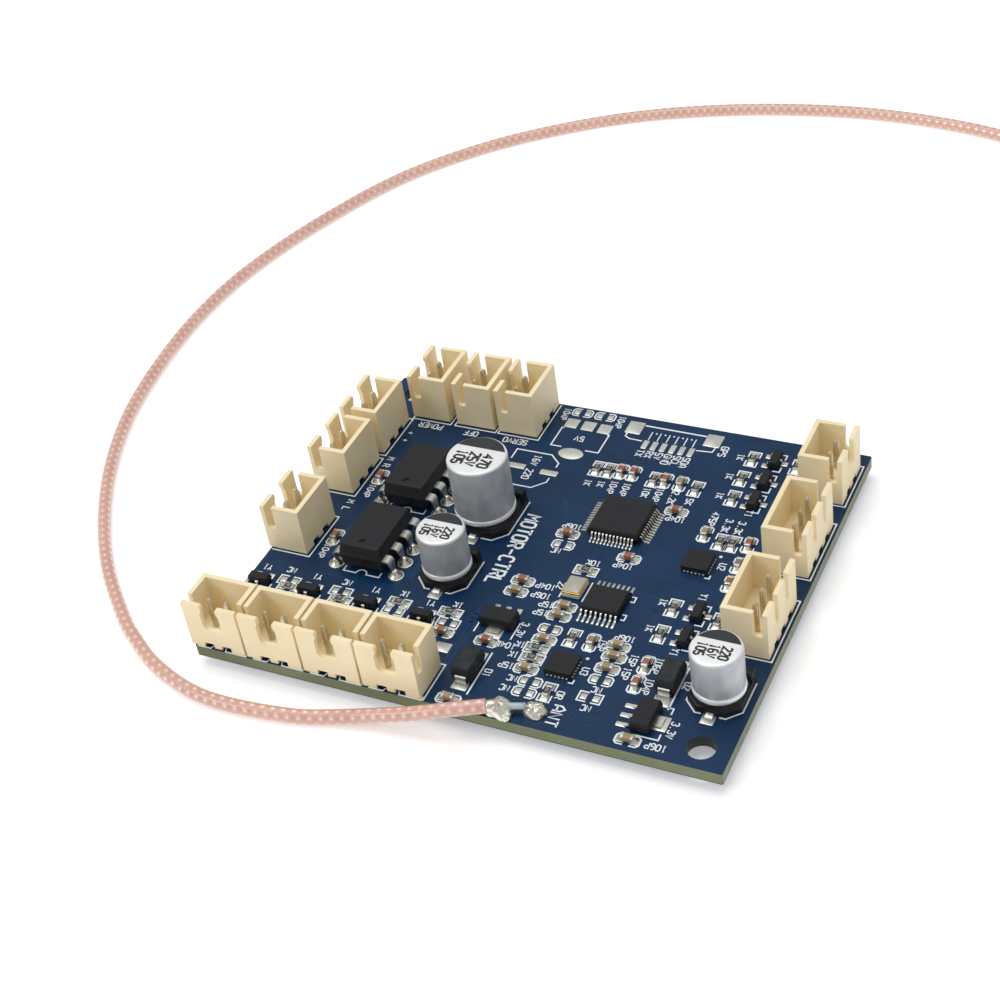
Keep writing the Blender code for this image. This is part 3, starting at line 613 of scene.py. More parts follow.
def bead_outline(x, sign):
    """Rounded swelling at the top of a window's side."""
    points = np.array([(-.05, 5.75), (0, 5.75), (.14, 5.9), (.24, 6.15), (.27, 6.45),
                       (.24, 6.75),
                       (.16, 6.93), (.08, 6.98), (-.05, 6.98)])
    return (points * (sign, 1) + (x, 0))[::sign]


def pin_offsets(count, pitch):
    """Places along a row, centred on zero."""
    return (np.arange(count) - (count - 1) / 2) * pitch


NOTCH_W, NOTCH_TOP, FLOOR_LOW, FLOOR_HIGH = 1.4, 0.75, 0.95, 1.8


def housing_shape(ways):
    """Cells of a header: walls, a floor, the openings in its front wall, a slot in each
    end wall, a notch under each contact, round feet to the openings, and the beads that
    hold a plug."""
    half = ((ways - 1) * PITCH) / 2 + HEADER_END
    pins = pin_offsets(ways, PITCH)
    width = 2.7 if ways == 2 else 1.15
    gaps = [(c - width / 2, c + width / 2)
            for c in pin_offsets(ways - 1, (2 * half + width) / ways)]
    xs = np.unique(np.round(np.concatenate(
        [[-half, half, -half + WALL, half - WALL], pins - NOTCH_W / 2, pins + NOTCH_W / 2,
         np.ravel(gaps)]), 4))
    slot = FRONT + WALL, FRONT + WALL + SIDE_SLOT
    ys = np.array([FRONT, *slot, REAR - WALL, REAR])
    zs = np.array([0.05, NOTCH_TOP, FLOOR_LOW, FLOOR_HIGH, WINDOW_Z, SLOT_Z, HEADER_TOP])
    x, y, z = np.meshgrid(*((v[:-1] + v[1:]) / 2 for v in (xs, ys, zs)), indexing="ij")
    inside = (np.abs(x) < half - WALL) & (y > slot[0]) & (y < REAR - WALL)
    filled = ~inside | ((z > FLOOR_LOW) & (z < FLOOR_HIGH))
    for low, high in gaps:
        filled &= ~((x > low) & (x < high) & (y < slot[0]) & (z > WINDOW_Z))
    filled &= ~((np.abs(x) > half - WALL) & (y > slot[0]) & (y < slot[1]) & (z > SLOT_Z))
    for pin in pins:
        filled &= ~((np.abs(x - pin) < NOTCH_W / 2) & (z < NOTCH_TOP))
    sides = [(x, sign) for gap in gaps for x, sign in zip(gap, (1, -1))]
    feet = [prism(foot_outline(x, WINDOW_Z, sign, .85 if ways == 2 else .42), FRONT, slot[0])
            for x, sign in sides]
    for sign in (1, -1):
        low, high = sorted((-sign * half, -sign * (half - WALL)))
        feet += [at(prism(foot_outline(y, SLOT_Z, side, .4), low, high), turn=UP)
                 for y, side in zip(slot, (1, -1))]
    if ways == 2:
        feet += [prism(bead_outline(x, sign), FRONT, slot[0]) for x, sign in sides]
    return merged([cells(xs, ys, zs, filled)] + feet)


def soften_housing(obj):
    """Joins the cells' flat faces, then rounds every sharp edge a little."""
    bm = bmesh.new()
    bm.from_mesh(obj.data)
    bmesh.ops.dissolve_limit(bm, angle_limit=0.01, verts=bm.verts, edges=bm.edges)
    bm.to_mesh(obj.data)
    bm.free()
    edge = obj.modifiers.new("moulded_edges", "BEVEL")
    edge.limit_method, edge.angle_limit = "ANGLE", math.radians(40)
    edge.width, edge.segments = 0.12 * MM, 2


def contact_shape(ways):
    """Square contacts with tapered ends, tails below the board, and the hidden strip."""
    pins = pin_offsets(ways, PITCH)
    one = block([(-3.1, .13, .13), (-2.85, .3, .3), (0.2, .32, .32), (5.85, .32, .32),
                 (6.18, .17, .17), (6.26, .1, .1)], r=0.05, steps=2)
    strip_under = rounded(pins[-1] + .3, 0.3, 0.35, 0.6, 0.03, 0.05, 2)
    return merged([repeat(one, [(p, 0, 0, 0) for p in pins]), strip_under])


def build_headers():
    for name, (ways, x, y, side) in HEADERS.items():
        turn = TURNS[side]
        housing = piece(f"housing_{name}", at(housing_shape(ways), x, y, 0, turn), [NYLON],
                        [f"header_{name}"])
        soften_housing(housing)
        piece(f"contacts_{name}", at(contact_shape(ways), x, y, 0, turn), [CONTACT],
              [f"header_{name}_pins"])


build_headers()

# ---- lettering --------------------------------------------------------------
GLYPHS = {   # strokes of each sign on a grid 4 wide and 6 high
    "0": "10 30 41 45 36 16 05 01 10", "1": "15 26 20;10 30", "2": "05 16 36 45 44 00 40",
    "3": "05 16 36 45 44 33 23;33 42 41 30 10 01", "4": "30 36 02 42",
    "5": "46 06 03 33 42 41 30 10 01", "6": "36 16 05 01 10 30 41 42 33 03",
    "7": "06 46 10", "8": "13 04 05 16 36 45 44 33 13 02 01 10 30 41 42 33",
    "9": "10 30 41 45 36 16 05 04 13 43", "A": "00 04 26 44 40;02 42",
    "C": "45 36 16 05 01 10 30 41", "D": "00 06 36 45 41 30 00", "E": "46 06 00 40;03 33",
    "F": "46 06 00;03 33", "G": "45 36 16 05 01 10 30 41 43 23", "K": "00 06;46 03 40",
    "L": "06 00 40", "M": "00 06 23 46 40", "N": "00 06 40 46",
    "O": "10 30 41 45 36 16 05 01 10", "P": "00 06 36 45 44 33 03",
    "R": "00 06 36 45 44 33 03;23 40", "S": "45 36 16 05 04 13 33 42 41 30 10 01",
    "T": "06 46;26 20", "U": "06 01 10 30 41 46", "V": "06 20 46", "W": "06 10 23 30 46",
    "X": "00 46;06 40", "Y": "06 23 46;23 20", "-": "03 43", "+": "03 43;21 25",
    ".": "20 21", " ": "",
}


def word_shape(word, height, weight=0.12, thick=0.02, narrow=0.78):
    """Word of plain strokes, centred at the origin."""
    unit, step = height / 6, 5.6
    parts = []
    for k, sign in enumerate(word):
        for line in GLYPHS[sign].split(";"):
            grid = np.array([(int(p[0]), int(p[1])) for p in line.split()], float)
            if len(grid):
                grid[:, 0] = (grid[:, 0] + k * step - (len(word) * step - 1.6) / 2) * narrow
                grid[:, 1] -= 3
                parts.append(ribbon(grid * unit, weight, -thick / 2, thick / 2))
    return merged(parts)


DOWN, OVER = -math.pi / 2, math.pi      # text that reads to the front, or upside down


def words(entries, height, weight=0.155, narrow=0.8):
    return [at(word_shape(w, height, weight, .02, narrow), x, y, .022, turn)
            for w, x, y, turn in entries]


# ---- capacitors -------------------------------------------------------------
CAPACITORS = {
    "capacitor_large": (8.0, 10.2, 8.3, 25.20, 33.00, ("470", "25V", "105")),
    "capacitor_small_1": (6.3, 7.7, 6.6, 25.30, 21.30, ("220", "16V", "105")),
    "capacitor_small_2": (6.3, 7.7, 6.6, 65.15, 11.45, ("220", "16V", "105")),
}


def can_shape(d, h):
    """Turned profile: rolled foot, neck, straight side and a top edge that turns in."""
    r, foot = d / 2, 1.55
    edge = [(r - .42 * (1 - math.cos(t)), h - .42 * (1 - math.sin(t)))
            for t in np.linspace(0, math.pi / 2, 7)]
    roll = [(r - .14 + .14 * math.sin(t), foot + .18 - .18 * math.cos(t))
            for t in np.linspace(0.2, math.pi - .2, 6)]
    return revolve([(r * .5, foot), (r - .42, foot)] + roll
                   + [(r - .16, foot + .42), (r - .1, foot + .6), (r - .02, foot + .85)]
                   + edge + [(r * .5, h)], 64)


def chord_shape(r, cut, z0, z1):
    """Printed segment of the top: the circle beyond a chord, as a thin closed plate."""
    a0 = math.asin(cut / r)
    a = np.linspace(a0, math.pi - a0, 25)
    outline = np.stack([r * np.cos(a), r * np.sin(a)], -1)
    return loft([level(outline, z0), level(outline, z1)])


def cap_base_shape(side):
    """Square base with two cut front corners, a raised wall that hugs the can, and a
    corner post at the back: rings of the outline, stepped up and in."""
    h, cut = side / 2, 1.5

    def outline(inset):
        k = h - inset
        c = cut - inset * 0.4
        return np.array([(k, -k + c), (k, k - .15), (k - .15, k), (-k + .15, k), (-k, k - .15),
                         (-k, -k + c), (-k + c, -k), (k - c, -k)])
    return loft([level(outline(i), z) for i, z in
                 ((.08, .02), (0, .1), (0, .85), (.06, .95), (.3, 1.0), (.42, 1.35), (.5, 1.42),
                  (1.0, 1.42), (1.3, 1.3))])


def build_capacitors():
    for name, (d, h, base, x, y, lines) in CAPACITORS.items():
        piece(name + "_sleeve", at(can_shape(d, h), x, y), [CAN], [name + "_can"],
              50)
        # The rolled foot wears the near-white rim finish, a painted highlight.
        foot = revolve([(d / 2 - .3, 1.4), (d / 2 - .04, 1.46), (d / 2 + .06, 1.62),
                        (d / 2 + .08, 1.85), (d / 2 + .05, 2.1), (d / 2 - .06, 2.25),
                        (d / 2 - .2, 2.3)], 64)
        piece(name + "_rolled_foot", at(foot, x, y), [CAN_RIM], (), 60)
        parts = [at(cap_base_shape(base), x, y)]
        parts += [at(rounded(.62, .62, .9, 2.35, .12, .25, 3), x + sign * (base / 2 - .66),
                     y + base / 2 - .66) for sign in (-1, 1)]
        for sign in (-1, 1):
            tab = strip([(sign * (base / 2 - 1), .25), (sign * (base / 2 + .3), .25),
                         (sign * (base / 2 + .62), .12)], 0.9, 0.14)
            parts.append(coloured(at(tab, x, y), 1))
        piece(name + "_seat", merged(parts), [BASE, LEG], [name + "_base"])
        top = h + 0.005
        r = d / 2 - .45
        ink = [at(chord_shape(r + .12, r * .42, -.02, .02), x, y, top)]
        ink += [at(word_shape(w, d * .175, d * .042, .02, .72), x + dx * d, y - d * .11, top,
                   DOWN)
                for w, dx in zip(lines, (.21, -.02, -.25))]
        piece(name + "_print", merged(ink), [CAN_INK], ())


build_capacitors()


# ---- packages with legs -----------------------------------------------------
DRIVERS = {"motor_driver_1": (14.45, 22.80), "motor_driver_2": (14.35, 35.50)}
DRIVER_ROW = 4.36              # from a driver's middle to each row of its legs
DRIVER_LEGS = pin_offsets(4, 2.54)
LEADLESS = {"radio_chip": (45.98, 10.10), "amplifier_chip": (55.10, 31.75)}


def driver_holes(x, y):
    return [(x + s * DRIVER_ROW, y + r, 0, 0) for s in (-1, 1) for r in DRIVER_LEGS]


def build_drivers():
    """Thick bodies with a parting line, and four bent legs on each long side."""
    body = block([(.8, 2.75, 4.35), (.86, 2.82, 4.42), (2.45, 3.08, 4.62), (2.5, 3.12, 4.66),
                  (2.6, 3.12, 4.66), (2.65, 3.08, 4.62), (4.1, 2.78, 4.4), (4.24, 2.7, 4.32),
                  (4.29, 2.55, 4.17)], r=.14, dimple=(0.0, -3.4, .6, .2))
    path = arc_path([(3.0, 2.55), (4.0, 2.55), (4.3, .3), (DRIVER_ROW, -1.6)], .45)
    width = np.where(path[:, 1] > 1.7, 1.35, np.where(path[:, 1] > 1.2, .8, .55))
    leg = strip(path, width, .24)
    fillet = revolve([(.95, .02), (.9, .09), (.68, .26), (.42, .62), (.3, .95), (.12, 1.0)], 20)
    for name, (x, y) in DRIVERS.items():
        legs = repeat(leg, [(x, y + r, 0, t) for t in (DOWN, UP) for r in DRIVER_LEGS])
        piece(name + "_package", merged([at(body, x, y), coloured(legs, 1)]), [MOULD, LEG],
              [name])
        piece(name + "_joints", repeat(fillet, driver_holes(x, y)), [SOLDER], (), 60)


def gull_lead(body, span, height, foot, width):
    """Thin lead: out of the body, down, and out along the board."""
    return strip(arc_path([(body - .2, height), (body + .22, height), (span - foot, .1),
                           (span, .1)], .16), width, .13)


def flat_package(name, x, y, body, lead, toe, reach, offsets, turns):
    """Body with a lead, and a toe of solder at its reach, at each offset on each side."""
    spots = [(x + o * math.cos(t), y + o * math.sin(t), 0, t) for t in turns for o in offsets]
    toes = [(px - reach * math.sin(t), py + reach * math.cos(t), 0, t)
            for px, py, _, t in spots]
    metal = coloured(merged([repeat(lead, spots), repeat(toe, toes)]), 1)
    piece(name.split("_")[0] + "_package", merged([at(body, x, y), metal]), [MOULD, LEG],
          [name])


def build_flat_packages():
    flat_package(
        "controller", 43.0, 36.6,
        block([(.12, 3.3, 3.3), (.16, 3.34, 3.34), (.72, 3.5, 3.5), (.84, 3.5, 3.5),
               (1.42, 3.3, 3.3), (1.49, 3.22, 3.22)], r=.12, dimple=(2.55, -2.55, .3, .05)),
        gull_lead(3.45, 4.5, .78, .55, .22),
        block([(.02, .14, .42), (.08, .13, .4), (.13, .1, .33)], .05, 2),
        4.35, pin_offsets(12, .5), np.arange(4) * math.pi / 2)
    flat_package(
        "interface_chip", 46.70, 21.75,
        block([(.08, 2.35, 2.05), (.5, 2.5, 2.2), (.6, 2.5, 2.2), (1.03, 2.36, 2.06),
               (1.09, 2.3, 2.0)], r=.1, dimple=(1.85, -1.5, .28, .05)),
        gull_lead(2.15, 3.2, .58, .6, .24),
        block([(.02, .17, .55), (.08, .16, .52), (.13, .12, .42)], .05, 2),
        3.25, pin_offsets(8, .65), (0, math.pi))

    body = block([(.05, 1.73, 1.73), (.95, 1.73, 1.73), (.98, 1.7, 1.7)], r=.06,
                 dimple=(1.3, -1.3, .16, .03))
    pad = rounded(.14, .14, .02, .3, .03, .05, 2)
    spots = [(s * 1.72, r, 0, 0) for s in (-1, 1) for r in pin_offsets(6, .5)]
    spots += [(y, x, 0, 0) for x, y, _, _ in spots]
    s = merged([body, coloured(repeat(pad, spots), 1)])
    for name, (x, y) in LEADLESS.items():
        piece(name + "_package", at(s, x, y), [MOULD, SOLDER], [name])

    base = rounded(1.24, 1.59, .05, .62, .04, .18, 3)
    rim = rounded(1.22, 1.57, .62, .86, .05, .2, 4)
    lid = block([(.84, 1.08, 1.43), (.97, 1.06, 1.41), (.99, 1.0, 1.35)], r=.2, steps=4)
    piece("crystal_case", at(merged([base, coloured(rim, 1), coloured(lid, 2)]), 42.05, 23.10),
          [CERAMIC, GOLD, LID], ["crystal"])


def build_small_packages():
    """Regulators, diodes and transistors: a bevelled body and strips of tinned metal."""
    body = block([(.05, 2.15, 1.18), (.7, 2.25, 1.25), (.82, 2.25, 1.25), (1.5, 2.12, 1.14),
                  (1.58, 2.05, 1.07)], r=.08)
    lead = strip([(1.0, .3), (1.5, .3), (1.75, .12), (2.18, .12)], .45, .16)
    tab = strip([(-.9, .22), (-1.6, .22), (-2.1, .22)], 1.6, .22)
    s = merged([body, coloured(repeat(lead, [(o, 0, 0, 0) for o in (-1.5, 0, 1.5)]), 1),
                coloured(tab, 1)])
    for name, x, y, turn in (("regulator_1", 35.40, 15.00, 0.0),
                             ("regulator_2", 58.50, 5.20, math.pi / 2)):
        piece(name + "_package", at(s, x, y, 0, turn), [MOULD, LEG], [name])

    body = block([(.12, 1.1, 1.95), (1.05, 1.3, 2.15), (1.2, 1.3, 2.15), (2.2, 1.12, 1.97),
                  (2.29, 1.04, 1.88)], r=.1)
    lead = strip(arc_path([(1.8, 1.1), (2.3, 1.1), (2.36, .12), (1.6, .1)], .15), 1.45, .18)
    s = merged([body, coloured(repeat(lead, [(0, 0, 0, 0), (0, 0, 0, math.pi)]), 1)])
    for name, x, y in (("diode_1", 35.37, 6.30), ("diode_2", 59.10, 11.60)):
        piece(name + "_package", at(s, x, y), [DIODE_MOULD, LEG], [name])

    body = block([(.1, .58, 1.37), (.6, .65, 1.45), (.7, .65, 1.45), (1.08, .56, 1.36),
                  (1.14, .5, 1.3)], r=.07)
    lead = strip(arc_path([(.55, .62), (.82, .62), (.9, .1), (1.2, .1)], .12), .42, .13)
    s = merged([body, coloured(repeat(lead, [(0, .95, 0, UP), (0, -.95, 0, UP),
                                             (0, 0, 0, DOWN)]), 1)])
    for k, (x, y, turn) in enumerate(TRANSISTORS):
        piece(f"transistor_{k + 1}_package", at(s, x, y, 0, turn), [MOULD, LEG],
              [f"transistor_{k + 1}"], 25)


TRANSISTORS = [(x, 12.95, DOWN) for x in (2.00, 9.30, 17.70, 25.60)] + [
    (58.20, 18.75, 0.0), (58.20, 23.20, 0.0), (57.90, 44.80, 0.0), (57.90, 49.00, 0.0),
    (57.90, 53.40, 0.0)]
build_drivers()
build_flat_packages()
build_small_packages()

# ---- chip resistors and capacitors -------------------------------------------
RESISTORS = [(x, y, UP) for x, y in (
    (54.8, 53.3), (54.7, 49.1), (54.9, 45.0), (54.9, 23.5), (55.0, 18.8), (35.5, 45.95),
    (37.2, 46.0), (43.7, 45.8), (49.7, 45.5), (56.25, 36.5), (57.85, 36.55), (45.05, 15.05),
    (45.8, 5.8))] + [(x, y, 0.0) for x, y in (
        (41.95, 26.7), (41.6, 12.1), (41.75, 10.4), (21.55, 14.5), (28.65, 14.75),
        (6.25, 12.95), (13.9, 12.8))] + [(60.9, 53.2, UP), (60.9, 22.7, UP)]
CHIP_CAPS = [(x, y, UP, k) for x, y, k in (
    (38.9, 46.2, 0), (40.65, 46.25, 0), (45.25, 45.95, 0), (47.4, 45.9, 1), (53.9, 37.4, 1),
    (59.9, 36.9, 0), (59.9, 32.95, 2), (59.95, 29.45, 0), (7.45, 23.4, 0), (7.45, 36.3, 0),
    (47.6, 15.0, 1), (55.3, 13.4, 0), (55.3, 10.15, 0))] + [(x, y, 0.0, k) for x, y, k in (
        (48.85, 40.5, 0), (46.3, 30.35, 0), (36.95, 32.55, 0), (35.05, 22.7, 0),
        (35.0, 20.65, 1), (42.0, 19.85, 1), (41.95, 18.1, 1), (41.9, 13.75, 1),
        (41.8, 8.55, 1), (50.9, 15.3, 1), (51.15, 13.5, 1), (51.1, 11.45, 1), (57.6, 1.65, 1),
        (35.2, 11.45, 0), (29.2, 11.3, 0), (34.95, 1.3, 1))]
EMPTY_ROUND = [(41.85, 15.65), (43.15, 6.8), (43.15, 5.0), (51.1, 9.5), (37.2, 30.45),
               (28.85, 56.8), (32.25, 56.8)]
EMPTY_SQUARE = [(50.95, 6.5), (29.2, 13.0), (5.65, 14.1), (13.3, 14.2), (21.5, 13.1)]
PAD_OUT, PAD_HX, PAD_HY = 0.86, 0.46, 0.46


def chip_joint(height):
    """Solder on one pad: rings that shrink from the pad to the end cap's foot."""
    rings = []
    for t in np.linspace(0, 1, 6):
        hx = PAD_HX * (1 - .62 * t)
        hy = PAD_HY * (1 - .22 * t)
        ring = round_rect(hx, hy, min(.12, hx * .9), 3)
        ring[:, 0] += PAD_OUT - .28 * t
        rings.append(level(ring, .03 + height * t ** 1.6))
    return loft(rings)


def build_chips():
    ceramic = rounded(.52, .4, .06, .82, .05, .06, 2)
    both_ways = [(0, 0, 0, 0), (0, 0, 0, math.pi)]
    ends = repeat(rounded(.2, .42, .05, .84, .07, .08, 2),
                  [(-.62, 0, 0, math.pi), (.62, 0, 0, 0)])
    spots = np.array([(x, y, 0, t) for x, y, t, _ in CHIP_CAPS])
    kinds = np.array([kind for *_, kind in CHIP_CAPS])
    piece("ceramic_capacitors", merged([
        repeat(ceramic, spots, kinds),
        repeat(ends, spots, np.full(len(spots), 3))]), [BROWN, TAN, GREY, LEG], ())

    spots_r = np.array([(x, y, 0, t) for x, y, t in RESISTORS])
    core = rounded(.78, .4, .05, .42, .02, .03, 2)
    coat = rounded(.5, .385, .42, .5, .03, .05, 2)
    end = repeat(rounded(.17, .41, .04, .48, .04, .04, 2), [(-.66, 0, 0, 0), (.66, 0, 0, 0)])
    digits = at(word_shape("102", .36, .05), 0, 0, .505)
    piece("chip_resistors", merged([
        repeat(s, spots_r, np.full(len(spots_r), slot))
        for slot, s in enumerate((core, coat, end, digits))]),
        [CERAMIC, GLASS, LEG, MARK], ())
    piece("chip_solder", merged([
        repeat(repeat(chip_joint(height), both_ways), places)
        for height, places in ((.5, spots), (.3, spots_r))]), [SOLDER], (), 50)


build_chips()


# ---- pads, legend and copper ------------------------------------------------
BARE_PADS = [                  # half length, half width, height and places
    (1.0, .75, .08, [(35.37, 3.75), (35.37, 8.85), (59.10, 8.55), (59.10, 14.65)]),
    (.62, .34, .08, [(55.95, 6.70), (55.95, 5.20), (55.95, 3.70)]),
    (.9, 1.15, .06, [(60.3, 5.2)]),
    (.34, .62, .08, [(33.9, 17.25), (35.4, 17.25), (36.9, 17.25)]),
    (1.15, .9, .06, [(35.4, 13.2)]),
    (.92, .98, .05, [(28.3, 54.3), (30.8, 54.25), (33.25, 54.2)]),
    (1.25, .5, .05, [(24.6, 43.7), (29.5, 43.4)]),
    (1.1, 1.3, .08, [(37.15, 55.6)]),
    (1.15, 1.3, .08, [(48.5, 55.6)]),
    (.38, .9, .06, [(x, 52.5) for x in (39.8, 41.1, 42.4, 43.75, 45.05, 46.35)]),
    (1.0, .8, .08, [(30.45, 8.95)]),
    (.8, .75, .08, [(25.2, 28.0), (25.2, 38.0), (25.3, 17.2), (25.3, 25.4), (65.15, 7.35),
                    (65.15, 15.55)]),
]


def pad_shape(hx, hy, z=.035, r=.08):
    """Pad with a slightly crowned top."""
    return block([(.005, hx, hy), (z * .6, hx, hy), (z, hx - .05, hy - .05)],
                 min(r, hx * .5, hy * .5), 2)


def build_pads():
    pads = [at(pad_shape(hx, hy, z), x, y) for hx, hy, z, places in BARE_PADS
            for x, y in places]
    for x, y in EMPTY_ROUND + EMPTY_SQUARE:
        pads.append(repeat(pad_shape(.42, .46, .09), [(x - .8, y, 0, 0), (x + .8, y, 0, 0)]))
    for x, y, turn in RESISTORS + [c[:3] for c in CHIP_CAPS]:
        pads.append(repeat(at(pad_shape(PAD_HX + .04, PAD_HY + .04), PAD_OUT),
                           [(x, y, 0, turn), (x, y, 0, turn + math.pi)]))
    three = repeat(pad_shape(.46, .42, .1), [(-1.15, -.95, 0, 0), (-1.15, .95, 0, 0),
                                             (1.2, 0, 0, 0)])
    pads += [at(three, x, y, 0, turn) for x, y, turn in TRANSISTORS]
    oval = circle(1, 28) * (1.8, 1.15)
    pads.append(at(loft([level(oval * k, z) for k, z in ((1, .005), (1, .03), (.95, .05))]),
                   30.75, 48.0))
    ring = revolve([(1.05, .005), (1.05, .03), (.95, .05), (.2, .05)], 20)
    holes = [spot for x, y in DRIVERS.values() for spot in driver_holes(x, y)]
    piece("tinned_pads", merged(pads + [repeat(ring, holes)]), [PAD], ())
    tails = [(x + o * math.cos(TURNS[side]), y + o * math.sin(TURNS[side]), 0, 0)
             for ways, x, y, side in HEADERS.values() for o in pin_offsets(ways, PITCH)]
    cone = loft([level(circle(r, 18)[::-1], z) for r, z in
                 ((1.0, -1.61), (.95, -1.66), (.62, -1.84), (.42, -2.2), (.3, -2.5),
                  (.1, -2.55))])
    piece("underside_joints", repeat(cone, tails + holes), [SOLDER], (), 60)


LINE, INK0, INK1 = 0.19, 0.012, 0.032


def stroke(points, width=LINE):
    return ribbon(points, width, INK0, INK1)


def bracket(hx, hy, cut, gap):
    """Half of a chip's frame: a U about +X, with cut corners and an open middle."""
    corner = [(hx - cut, hy), (hx, hy - cut)] if cut else [(hx, hy)]
    points = [(gap, hy)] + corner + [(x, -y) for x, y in corner[::-1]] + [(gap, -hy)]
    return repeat(stroke(points), [(0, 0, 0, 0), (0, 0, 0, math.pi)])


def octagon_front(x, y, half, cut, back):
    """Front of a capacitor's frame, with its two cut corners."""
    return [stroke([(x - half, y + back), (x - half, y - half + cut),
                    (x - half + cut, y - half), (x - 1.1, y - half)]),
            stroke([(x + 1.1, y - half), (x + half - cut, y - half), (x + half, y - half + cut),
                    (x + half, y + back)])]


LEGEND = [                     # corners of single lines, of the usual width
    [(32.15, .11), (32.15, 6.3), (31.0, 6.3)],
    [(23.2, 45.0), (23.2, 47.05), (28.4, 47.05), (30.0, 45.6), (30.0, 44.7)],
    [(30.0, 42.4), (30.0, 41.5), (28.4, 39.9), (23.2, 39.9), (23.2, 42.0)],
    [(27.6, 53.1), (27.3, 53.1), (27.3, 49.1), (28.9, 49.1)],
    [(32.4, 49.1), (34.3, 49.1), (34.3, 53.1), (34.0, 53.1)],
    [(36.5, 54.5), (36.5, 53.6), (37.2, 53.2), (39.1, 53.1)],
    [(46.9, 53.1), (49.1, 53.3), (49.2, 54.2)],
    [(58.0, 2.65), (60.9, 2.65), (60.9, 3.6)],
    [(60.9, 6.8), (60.9, 7.75), (58.0, 7.75)],
    [(32.9, 12.6), (32.9, 15.6)],
    [(37.9, 12.6), (37.9, 15.6)],
    [(49.35, 20.6), (49.9, 20.6), (49.9, 19.7), (49.4, 19.7)],
    [(49.35, 23.9), (49.9, 23.9), (49.9, 23.0), (49.4, 23.0)],
    [(40.55, 21.3), (40.55, 24.9)],
    [(43.65, 24.9), (43.65, 21.3)],
]
LEFT_FRAMES = ((18.95, 27.2), (31.65, 40.05), (40.75, 49.25))
BACK_FRAMES = ((5.85, 11.75), (12.4, 18.7), (19.1, 25.2))
RIGHT_FRAMES = ((18.15, 29.0), (32.85, 43.75), (47.2, 55.6))


def build_legend():
    chips = ((RESISTORS, 1.5, .78, 0, .38), (CHIP_CAPS, 1.5, .78, .32, .38),
             (EMPTY_ROUND, 1.45, .75, .3, .3), (EMPTY_SQUARE, 1.45, .75, 0, .3))
    lines = [repeat(bracket(*size), [(x, y, 0, rest[0] if rest else 0)
                                     for x, y, *rest in places]) for places, *size in chips]
    lines += [stroke(points) for points in LEGEND]
    corners = merged([stroke([(.1, s * 1.75), (1.05, s * 1.75), (1.05, s * .75)])
                      for s in (1, -1)])
    lines += [at(corners, x, y, 0, turn) for x, y, turn in TRANSISTORS]
    for c in FRONT_ROW:
        lines += [stroke([(c - 3.1, .11), (c - 1.15, .11), (c - .8, .95)]),
                  stroke([(c + .7, .95), (c + 1.05, .11), (c + 4.0, .11), (c + 4.0, .7)])]
    lines += [stroke([(.25, y0), (5.9, y0), (5.9, y1), (.25, y1)]) for y0, y1 in LEFT_FRAMES]
    lines += [stroke([(x0, 57.7), (x0, 49.5), (x1, 49.5), (x1, 57.7)])
              for x0, x1 in BACK_FRAMES]
    lines += [stroke([(63.0, y0), (69.1, y0), (69.1, y1), (63.0, y1)])
              for y0, y1 in RIGHT_FRAMES]
    for x, y in ((14.2, 17.95), (14.15, 30.9)):
        a = np.linspace(math.pi, 0, 9)
        notch = np.stack([x + .75 * np.cos(a), y + .75 * np.sin(a)], -1)
        lines.append(stroke(np.vstack([[(x - 2.6, y + .9), (x - 2.6, y)], notch,
                                       [(x + 2.6, y), (x + 2.6, y + .9)]])))
    for frame_size in ((25.3, 21.3, 3.42, 1.6, 3.3), (65.15, 11.45, 3.42, 1.55, 3.0),
                       (25.2, 33.0, 4.35, 1.7, 4.1)):
        lines += octagon_front(*frame_size)
    lines.append(stroke([(38.4, 56.4), (47.3, 56.3)], width=.24))
    lines += [stroke([(x, 53.6), (x, 55.3)], width=.14)
              for x in (39.85, 41.1, 42.4, 43.65, 44.9, 46.15)]
    lines += [stroke([(x, y0), (x, y1)], width=.22)
              for x, y0, y1 in ((60.3, 7.4, 14.6), (36.75, 2.6, 9.9))]
    lines += [stroke([(x + 2.1, y - 1.5), (x + 2.1, y - 2.1), (x + 1.5, y - 2.1)])
              for x, y in LEADLESS.values()]
    for r, n, dots in ((.14, 10, [(40.5 + 1.26 * k, 55.1) for k in range(5)]),
                       (.22, 12, [(57.25, 33.9), (48.2, 12.35)])):
        lines.append(repeat(revolve([(r, INK0), (r, INK1)], n),
                            [(x, y, 0, 0) for x, y in dots]))
    piece("legend_lines", merged(lines), [SILK], ())


